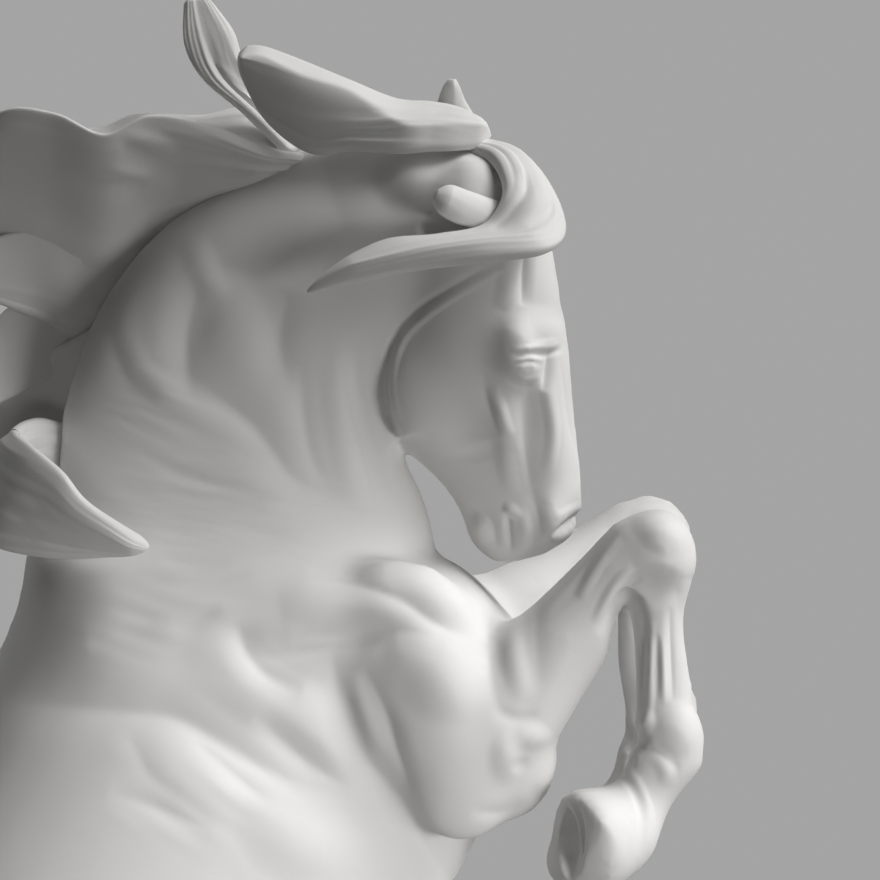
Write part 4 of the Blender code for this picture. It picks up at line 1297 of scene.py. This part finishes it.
TAIL = (
    Lock("tail_dock",
         *ribbon(tail_path((-61.5, 0, 171.5), (-77.5, 0, 181.5), (-95.5, 0, 181.5), (-111.5, 0, 165.5),
                           (-119.5, 0, 137.5), (-119.5, 0, 107.5), (-111.5, 0, 79.5)),
                 (28, 34, 42, 48, 48, 36, 8)),
         thickness=7.6, crown=0.6, strands=4.0, depth=0.9),
    Lock("tail_right",
         *ribbon(tail_path((-93.5, -6, 177.5), (-113.5, -11, 159.5), (-119.5, -15, 127.5),
                           (-115.5, -17, 91.5), (-103.5, -17, 55.5), (-91.5, -15, 26), (-85.5, -14, 14.5)),
                 (20, 40, 52, 54, 50, 40, 34)),
         thickness=6.4, crown=0.6, strands=4.0, depth=0.9),
    Lock("tail_left",
         *ribbon(tail_path((-93.5, 6, 177.5), (-115.5, 12, 161.5), (-125.5, 17, 131.5),
                           (-125.5, 20, 97.5), (-115.5, 20, 63.5), (-103.5, 18, 28), (-95.5, 16, 14.5)),
                 (20, 40, 50, 52, 48, 38, 32)),
         thickness=6.4, crown=0.6, strands=4.0, depth=0.9, front=Side.LEFT),
)
EARS = (
    Lock("right_ear",
         ((528, 208, -24), (494, 200, -33), (468, 191, -37), (449, 185, -39), (437, 190, -41)),
         ((520, 238, -25), (486, 230, -35), (459, 224, -39), (440, 213, -41), (432, 198, -41)),
         thickness=2.4, ridge=(0.0, 0.05, 0.1, 0.1), crown=0.6, strands=1.0, depth=0.1),
    Lock("left_ear",
         ((478, 122, -5), (466, 102, -9), (460, 87, -12), (456, 79, -13)),
         ((434, 122, -6), (438, 102, -10), (444, 86, -13), (449, 79, -13)),
         thickness=2.0, ridge=(0.1, 0.1), crown=1.6, strands=1.0, depth=0.1),
)


@dataclass
class Ears:
    """The two ears, laid back on the poll."""

    leaves: tuple[Lock, ...]

    def build(self, finish: bpy.types.Material) -> None:
        """Draw out and show each ear."""
        for leaf in self.leaves:
            show(f"{leaf.node}_cast", leaf.mesh(), finish, leaf.node)


@dataclass
class Hair:
    """Mane, forelock and tail."""

    locks: tuple[Lock, ...]

    def build(self, finish: bpy.types.Material) -> None:
        """Draw out, comb and show each lock."""
        for lock in self.locks:
            show(f"{lock.node}_combed", lock.mesh(), finish, lock.node)


@dataclass
class Ground:
    """The low oval ground, shown as it is cast."""

    node: str = "ground"

    def build(self, finish: bpy.types.Material) -> None:
        """Give the ground its finish.

        Args:
            finish: The ground's material.
        """
        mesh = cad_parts[self.node].data
        mesh.materials.clear()
        mesh.materials.append(finish)
        LOG.info("%s: %d faces", self.node, len(mesh.polygons))


def hang(light: bpy.types.Light, place: Vector, way: Vector) -> None:
    """Hang a light.

    Args:
        light: The light.
        place: Where it hangs.
        way: The way it shines.
    """
    lamp = put(light.name, light)
    lamp.location = place
    lamp.rotation_euler = way.to_track_quat("-Z", "Y").to_euler()


@dataclass(frozen=True)
class Lamp:
    """A soft round lamp: its name, where it hangs round the figure in degrees, and its power in watts."""

    name: str
    azimuth: float
    elevation: float
    power: float

    AIM = Vector((0.10, -0.02, 0.36))
    AWAY = 1.45
    SIZE = 0.8

    def hang(self) -> None:
        """Hang the lamp and turn it to the figure."""
        turn = math.radians(self.azimuth)
        rise = math.radians(self.elevation)
        way = Vector((math.sin(turn) * math.cos(rise), -math.cos(turn) * math.cos(rise), math.sin(rise)))
        light = bpy.data.lights.new(self.name, "AREA")
        light.shape = "DISK"
        light.size = self.SIZE
        light.energy = self.power
        hang(light, self.AIM + way * self.AWAY, -way)


@dataclass(frozen=True)
class Spot:
    """A soft spot light: its name, place, aim, power in watts and cone in degrees."""

    name: str
    place: Place
    aim: Place
    power: float
    cone: float

    SOFTNESS = 0.15

    def hang(self) -> None:
        """Hang the light and turn it to its aim."""
        light = bpy.data.lights.new(self.name, "SPOT")
        light.energy = self.power
        light.spot_size = math.radians(self.cone)
        light.spot_blend = 1.0
        light.shadow_soft_size = self.SOFTNESS
        hang(light, Vector(self.place), Vector(self.aim) - Vector(self.place))


@dataclass
class Studio:
    """Lights, backdrop and floor, which lights the figure with a deeper grey than it shows."""

    lamps: tuple[Lamp | Spot, ...] = (
        Lamp("key", 74.0, 52.0, 10.4),
        Lamp("side", 90.0, 40.0, 7.0),
        Lamp("second", 60.0, 30.0, 2.5),
        Lamp("rear", -100.0, 45.0, 2.0),
        Lamp("back", 215.0, 30.0, 1.0),
        Spot("barrel", (0.0, -0.9, 0.15), (0.02, -0.05, 0.19), 6.0, 27.0),
        Spot("forearm", (0.6, -0.7, 0.2), (0.085, -0.05, 0.225), 25.0, 20.0),
        Spot("foreleg", (0.7, -0.6, 0.18), (0.115, -0.05, 0.28), 12.0, 19.0),
    )
    backdrop: float = 0.372
    even_light: float = 0.003
    floor_size: float = 1.2
    floor_shown: float = 0.42
    floor_lighting: float = 0.22

    def build(self) -> None:
        """Set up the floor, the world and the lamps."""
        bpy.context.scene.view_settings.view_transform = "Standard"
        self.world()
        self.floor()
        for lamp in self.lamps:
            lamp.hang()

    @staticmethod
    def grey(level: float) -> tuple[float, float, float, float]:
        """Return a grey with full alpha."""
        return level, level, level, 1.0

    def world(self) -> None:
        """Give the world a faint even light and the backdrop's grey."""
        world = bpy.data.worlds.new("studio")
        world.use_nodes = True
        bpy.context.scene.world = world
        tree = world.node_tree
        even = tree.nodes["Background"]
        even.inputs["Color"].default_value = self.grey(self.even_light)
        even.inputs["Strength"].default_value = 1.0
        grey = tree.nodes.new("ShaderNodeBackground")
        grey.inputs["Color"].default_value = self.grey(self.backdrop)
        path = tree.nodes.new("ShaderNodeLightPath")
        chosen = path.outputs["Is Camera Ray"]
        for ray in ("Is Glossy Ray", "Is Transmission Ray"):
            either = tree.nodes.new("ShaderNodeMath")
            either.operation = "MAXIMUM"
            tree.links.new(chosen, either.inputs[0])
            tree.links.new(path.outputs[ray], either.inputs[1])
            chosen = either.outputs["Value"]
        mix = tree.nodes.new("ShaderNodeMixShader")
        tree.links.new(chosen, mix.inputs["Fac"])
        tree.links.new(even.outputs["Background"], mix.inputs[1])
        tree.links.new(grey.outputs["Background"], mix.inputs[2])
        tree.links.new(mix.outputs["Shader"], tree.nodes["World Output"].inputs["Surface"])

    def floor(self) -> None:
        """Lay the pale floor that the figure stands on."""
        bm = bmesh.new()
        bmesh.ops.create_grid(bm, x_segments=1, y_segments=1, size=self.floor_size)
        mesh = solid("floor", bm)
        paint = bpy.data.materials.new("floor_paint")
        paint.use_nodes = True
        tree = paint.node_tree
        shader = tree.nodes["Principled BSDF"]
        shader.inputs["Roughness"].default_value = 0.9
        path = tree.nodes.new("ShaderNodeLightPath")
        tint = tree.nodes.new("ShaderNodeMix")
        tint.data_type = "RGBA"
        tint.inputs["A"].default_value = self.grey(self.floor_lighting)
        tint.inputs["B"].default_value = self.grey(self.floor_shown)
        tree.links.new(path.outputs["Is Camera Ray"], tint.inputs["Factor"])
        tree.links.new(tint.outputs["Result"], shader.inputs["Base Color"])
        mesh.materials.append(paint)
        floor = put("floor", mesh)


MIDDLE = (0.0, 0.0, 0.0)
NECK_ROOT = (0.075, 0.0, 0.355)
NECK_MIDDLE = (0.095, -0.006, 0.395)
NECK_SIDE = (-0.10, -0.98, -0.10)
POLL = (0.122, -0.016, 0.430)
HEAD_TOP = (0.1325, -0.0227, 0.4470)
HEAD_SIDE = (-0.203, -0.957, -0.208)
RIGHT_KNEE = (0.1761, -0.0296, 0.3512)
LEFT_KNEE = (0.1781, 0.0424, 0.3498)
FOREARM_SIDE = (0.05, -1.0, 0.05)

TWINS = (
    fold((-0.02, 0.0, 0.17), MIDDLE),
    fold((0.05, 0.0, 0.25), MIDDLE),
    fold((0.09, 0.0, 0.30), MIDDLE),
    fold((0.0, 0.0, 0.08), MIDDLE),
    fold(NECK_ROOT, NECK_ROOT),
    fold(NECK_MIDDLE, NECK_MIDDLE, NECK_SIDE),
    fold(POLL, POLL, HEAD_SIDE),
    fold((0.140, -0.018, 0.400), HEAD_TOP, HEAD_SIDE),
    fold((0.150, -0.010, 0.360), HEAD_TOP, HEAD_SIDE),
    fold((0.155, -0.022, 0.327), RIGHT_KNEE, FOREARM_SIDE),
    fold((0.179, -0.025, 0.325), RIGHT_KNEE),
    fold((0.172, -0.025, 0.285), RIGHT_KNEE),
    Twin((0.148, 0.030, 0.331), LEFT_KNEE, RIGHT_KNEE, 17.5),
    Twin((0.181, 0.040, 0.325), LEFT_KNEE, RIGHT_KNEE),
    Twin((0.175, 0.040, 0.285), LEFT_KNEE, RIGHT_KNEE),
)

# A stroke names its height, reach and path. A swelling names its height, radii, slant and middle.
CHEEK = (
    step(0.9, 10, (402, 446), (391, 410), (388, 382), (392, 356), (404, 331), (427, 310), (452, 293),
         (482, 276), (512, 260)),
    crease(0.8, 10, (398, 446), (387, 408), (384, 380), (388, 352), (401, 327), (424, 305), (450, 288),
           (480, 271), (508, 256)),
    step(-0.4, 16, (396, 436), (425, 449), (452, 452), (482, 447), (512, 436)),
    ridge(0.8, 10, (491, 385), (500, 412), (509, 440)),
    crease(0.5, 18, (482, 370), (488, 405), (496, 436)),
    ridge(0.5, 12, (500, 430), (506, 465), (513, 498)),
    Bump(0.5, (50, 60), 10, (440, 390)),
    Bump(2.2, (44, 40), 0, (414, 178)),
    Bump(-8.0, (38, 20), 8, (455, 232), 1.2),
)
EYE = (
    Bump(1.3, (40, 28), 0, (531, 329)),
    ridge(0.4, 5, (526, 346), (540, 343), (553, 340)),
    step(-0.9, 8, (510, 353), (528, 352), (546, 350), (558, 345)),
    ridge(0.35, 4, (516, 362), (528, 357), (540, 359)),
    crease(0.45, 5, (513, 367), (528, 362), (541, 365)),
    ridge(0.25, 4, (514, 375), (528, 379), (540, 374)),
    crease(0.4, 6, (505, 381), (519, 386), (533, 385)),
    crease(1.3, 10, (546, 348), (545, 366), (540, 390)),
)
NOSE = (
    crease(1.5, 12, (526, 244), (525, 275), (522, 306)),
    ridge(0.8, 14, (513, 256), (508, 285), (502, 310)),
    crease(0.8, 22, (522, 390), (525, 440), (529, 475), (536, 504)),
    ridge(2.0, 25, (555, 318), (552, 350), (551, 378), (550, 405), (551, 440), (551, 480), (546, 505)),
    ridge(0.7, 9, (541, 376), (547, 405), (550, 435), (546, 474)),
    crease(0.7, 14, (555, 356), (563, 395), (570, 425), (583, 464)),
    Bump(0.9, (13, 9), 35, (512, 511)),
    crease(1.4, 8, (507, 512), (509, 530), (510, 542), (511, 554)),
    ridge(0.6, 9, (519, 506), (525, 530), (524, 556)),
    crease(0.8, 20, (531, 490), (538, 518), (540, 548)),
    crease(1.8, 8, (552, 537), (566, 527), (587, 510)),
    ridge(0.4, 7, (556, 521), (568, 512), (586, 503)),
    ridge(0.3, 6, (546, 543), (558, 541), (576, 528)),
    Bump(0.9, (16, 19), 0, (480, 530)),
    crease(0.6, 10, (466, 508), (482, 512), (492, 526), (497, 548)),
)
NECK = (
    crease(1.7, 42, (170, 366), (240, 415), (270, 448), (296, 480), (340, 502), (392, 516)),
    crease(0.9, 30, (300, 360), (304, 420), (316, 465), (342, 502)),
    crease(1.2, 26, (352, 345), (362, 405), (378, 455), (402, 500)),
    ridge(0.7, 20, (336, 340), (339, 400), (345, 440), (356, 480), (380, 514)),
    crease(1.1, 13, (140, 458), (190, 477), (225, 487), (282, 498)),
    crease(0.7, 11, (156, 490), (210, 500), (266, 506)),
    crease(0.7, 11, (215, 525), (255, 529), (296, 535)),
    crease(0.5, 11, (160, 559), (195, 564), (230, 561)),
    crease(0.5, 12, (178, 584), (212, 581), (252, 574)),
    crease(0.9, 34, (202, 280), (186, 340), (192, 405)),
    crease(0.8, 34, (290, 290), (280, 340), (290, 395)),
    crease(0.7, 26, (114, 335), (128, 380), (160, 404)),
    ridge(3.0, 64, (330, 186), (250, 212), (195, 245), (156, 290), (128, 340), (116, 390)),
    ridge(0.45, 18, (140, 285), (128, 340), (156, 386), (228, 428), (300, 468)),
    ridge(0.4, 20, (196, 236), (206, 268), (220, 306)),
    Bump(0.8, (70, 40), 75, (235, 330)),
    Streaks(0.32, (170, 62), 8, (230, 508), 19),
    Streaks(0.2, (90, 80), 25, (130, 420), 21),
)
SHOULDER = (
    crease(2.8, 50, (0, 700), (120, 710), (172, 716), (216, 738), (262, 766), (304, 786), (345, 797),
           (390, 806)),
    crease(1.8, 26, (255, 716), (296, 750), (324, 772), (356, 791)),
    crease(1.6, 28, (236, 622), (248, 655), (268, 676), (302, 692)),
    Bump(-2.4, (120, 110), 0, (0, 640)),
    crease(1.7, 30, (250, 660), (305, 653), (345, 647), (396, 638)),
    crease(1.3, 30, (290, 638), (350, 634), (400, 630), (446, 642)),
    crease(1.4, 27, (306, 580), (360, 586), (406, 603), (446, 629), (490, 645)),
    crease(2.2, 34, (460, 892), (420, 836), (384, 792), (356, 744), (339, 692), (330, 648)),
    crease(1.5, 24, (362, 664), (382, 708), (397, 756), (410, 806)),
    Bump(-1.6, (50, 46), 40, (398, 792)),
    ridge(1.5, 40, (190, 640), (258, 690), (300, 716), (336, 748), (358, 790)),
    ridge(1.3, 36, (280, 606), (350, 598), (400, 602), (446, 632)),
    Bump(2.0, (66, 40), 30, (450, 590)),
    Bump(2.6, (66, 52), 35, (440, 672)),
    Bump(2.4, (75, 95), 15, (462, 730)),
    Bump(1.6, (70, 50), 20, (300, 840)),
    ridge(0.8, 13, (350, 672), (362, 712), (380, 758)),
    crease(0.9, 26, (108, 792), (150, 806), (212, 831)),
    crease(0.7, 22, (190, 738), (230, 770), (270, 802)),
    crease(0.4, 28, (126, 730), (150, 775), (180, 796)),
    crease(0.9, 28, (86, 642), (125, 634), (170, 626)),
    crease(0.7, 20, (160, 624), (190, 620), (222, 610)),
    Streaks(0.2, (170, 80), 12, (150, 610), 44),
    Streaks(0.16, (160, 80), 30, (200, 800), 50),
)
FOREARM = (
    crease(0.35, 16, (490, 606), (489, 655), (494, 692), (506, 726)),
    ridge(0.9, 16, (508, 606), (513, 655), (525, 704)),
    crease(0.4, 22, (536, 590), (536, 640), (541, 694)),
    crease(0.6, 14, (494, 708), (516, 719), (540, 714)),
    Bump(1.1, (20, 32), 0, (506, 756)),
    Bump(1.0, (24, 17), 0, (531, 737)),
    Bump(-0.6, (14, 11), 0, (519, 764)),
    crease(0.7, 16, (470, 812), (502, 813), (524, 800)),
    ridge(0.7, 10, (562, 742), (549, 768), (537, 794)),
    crease(0.15, 12, (616, 512), (586, 556), (540, 612)),
    ridge(0.5, 10, (606, 532), (576, 572), (540, 616)),
    crease(0.25, 10, (618, 528), (594, 562), (566, 606)),
    ridge(0.6, 9, (620, 538), (600, 562), (578, 598)),
    ridge(0.7, 9, (634, 566), (612, 592), (596, 624)),
    crease(1.2, 11, (642, 578), (618, 600), (598, 636)),
    Bump(1.2, (40, 30), 35, (664, 526)),
    Bump(-0.5, (36, 26), -10, (632, 550)),
    Bump(-1.5, (40, 26), -12, (650, 588)),
)
CANNON = (
    ridge(2.0, 15, (690, 580), (693, 620), (693, 660), (692, 706)),
    crease(0.8, 12, (643, 606), (642, 650), (640, 712)),
    ridge(0.7, 6, (651, 618), (651, 660), (649, 726)),
    crease(0.4, 6, (657, 634), (657, 700)),
    ridge(0.6, 5, (662, 632), (663, 665), (664, 706)),
    crease(0.9, 9, (670, 606), (672, 650), (673, 704)),
    Bump(1.4, (34, 32), 0, (684, 728)),
    Bump(0.8, (12, 16), 0, (646, 722)),
    Bump(-1.2, (20, 17), 0, (634, 738)),
    crease(0.8, 16, (626, 746), (655, 752), (680, 770)),
    ridge(0.6, 12, (648, 750), (664, 764), (668, 788)),
)
HOOF = (
    step(0.5, 10, (643, 858), (646, 819), (635, 786), (612, 760)),
    Bump(-3.0, (13, 38), 2, (572, 842), 0.8),
    ridge(1.2, 4, (571, 800), (573, 830), (575, 868)),
    crease(0.7, 5, (565, 798), (570, 830), (574, 870)),
    crease(0.7, 5, (580, 798), (577, 830), (576, 870)),
)
HIND = (
    crease(1.3, 44, (-196, 1226), (-156, 1330), (-92, 1396), (-64, 1440)),
    ridge(1.0, 50, (-60, 1200), (-40, 1290), (10, 1350)),
    crease(1.2, 36, (36, 1176), (90, 1226), (140, 1252)),
    ridge(0.8, 22, (0, 1396), (-56, 1446), (-100, 1496)),
    crease(0.9, 20, (12, 1430), (-44, 1480), (-92, 1520)),
    Bump(1.0, (26, 26), 0, (-130, 1522)),
    crease(0.8, 14, (-98, 1572), (-60, 1650), (-18, 1732)),
    ridge(0.7, 13, (-114, 1572), (-76, 1650), (-34, 1736)),
    Bump(0.9, (26, 20), 0, (8, 1776)),
    step(0.6, 14, (-16, 1838), (24, 1830), (66, 1838)),
)
STROKES = CHEEK + EYE + NOSE + NECK + SHOULDER + FOREARM + CANNON + HOOF + HIND


def main() -> None:
    """Build the figure and its studio."""
    logging.basicConfig(level=logging.INFO, format="%(message)s")
    VIEW.camera()
    Studio().build()
    porcelain = BODY_FINISH.made()
    Body().build(STROKES, TWINS, porcelain)
    Hair(MANE + TAIL).build(HAIR_FINISH.made())
    Ears(EARS).build(porcelain)
    Ground().build(GROUND_FINISH.made())


if __name__ == "__main__":
    main()
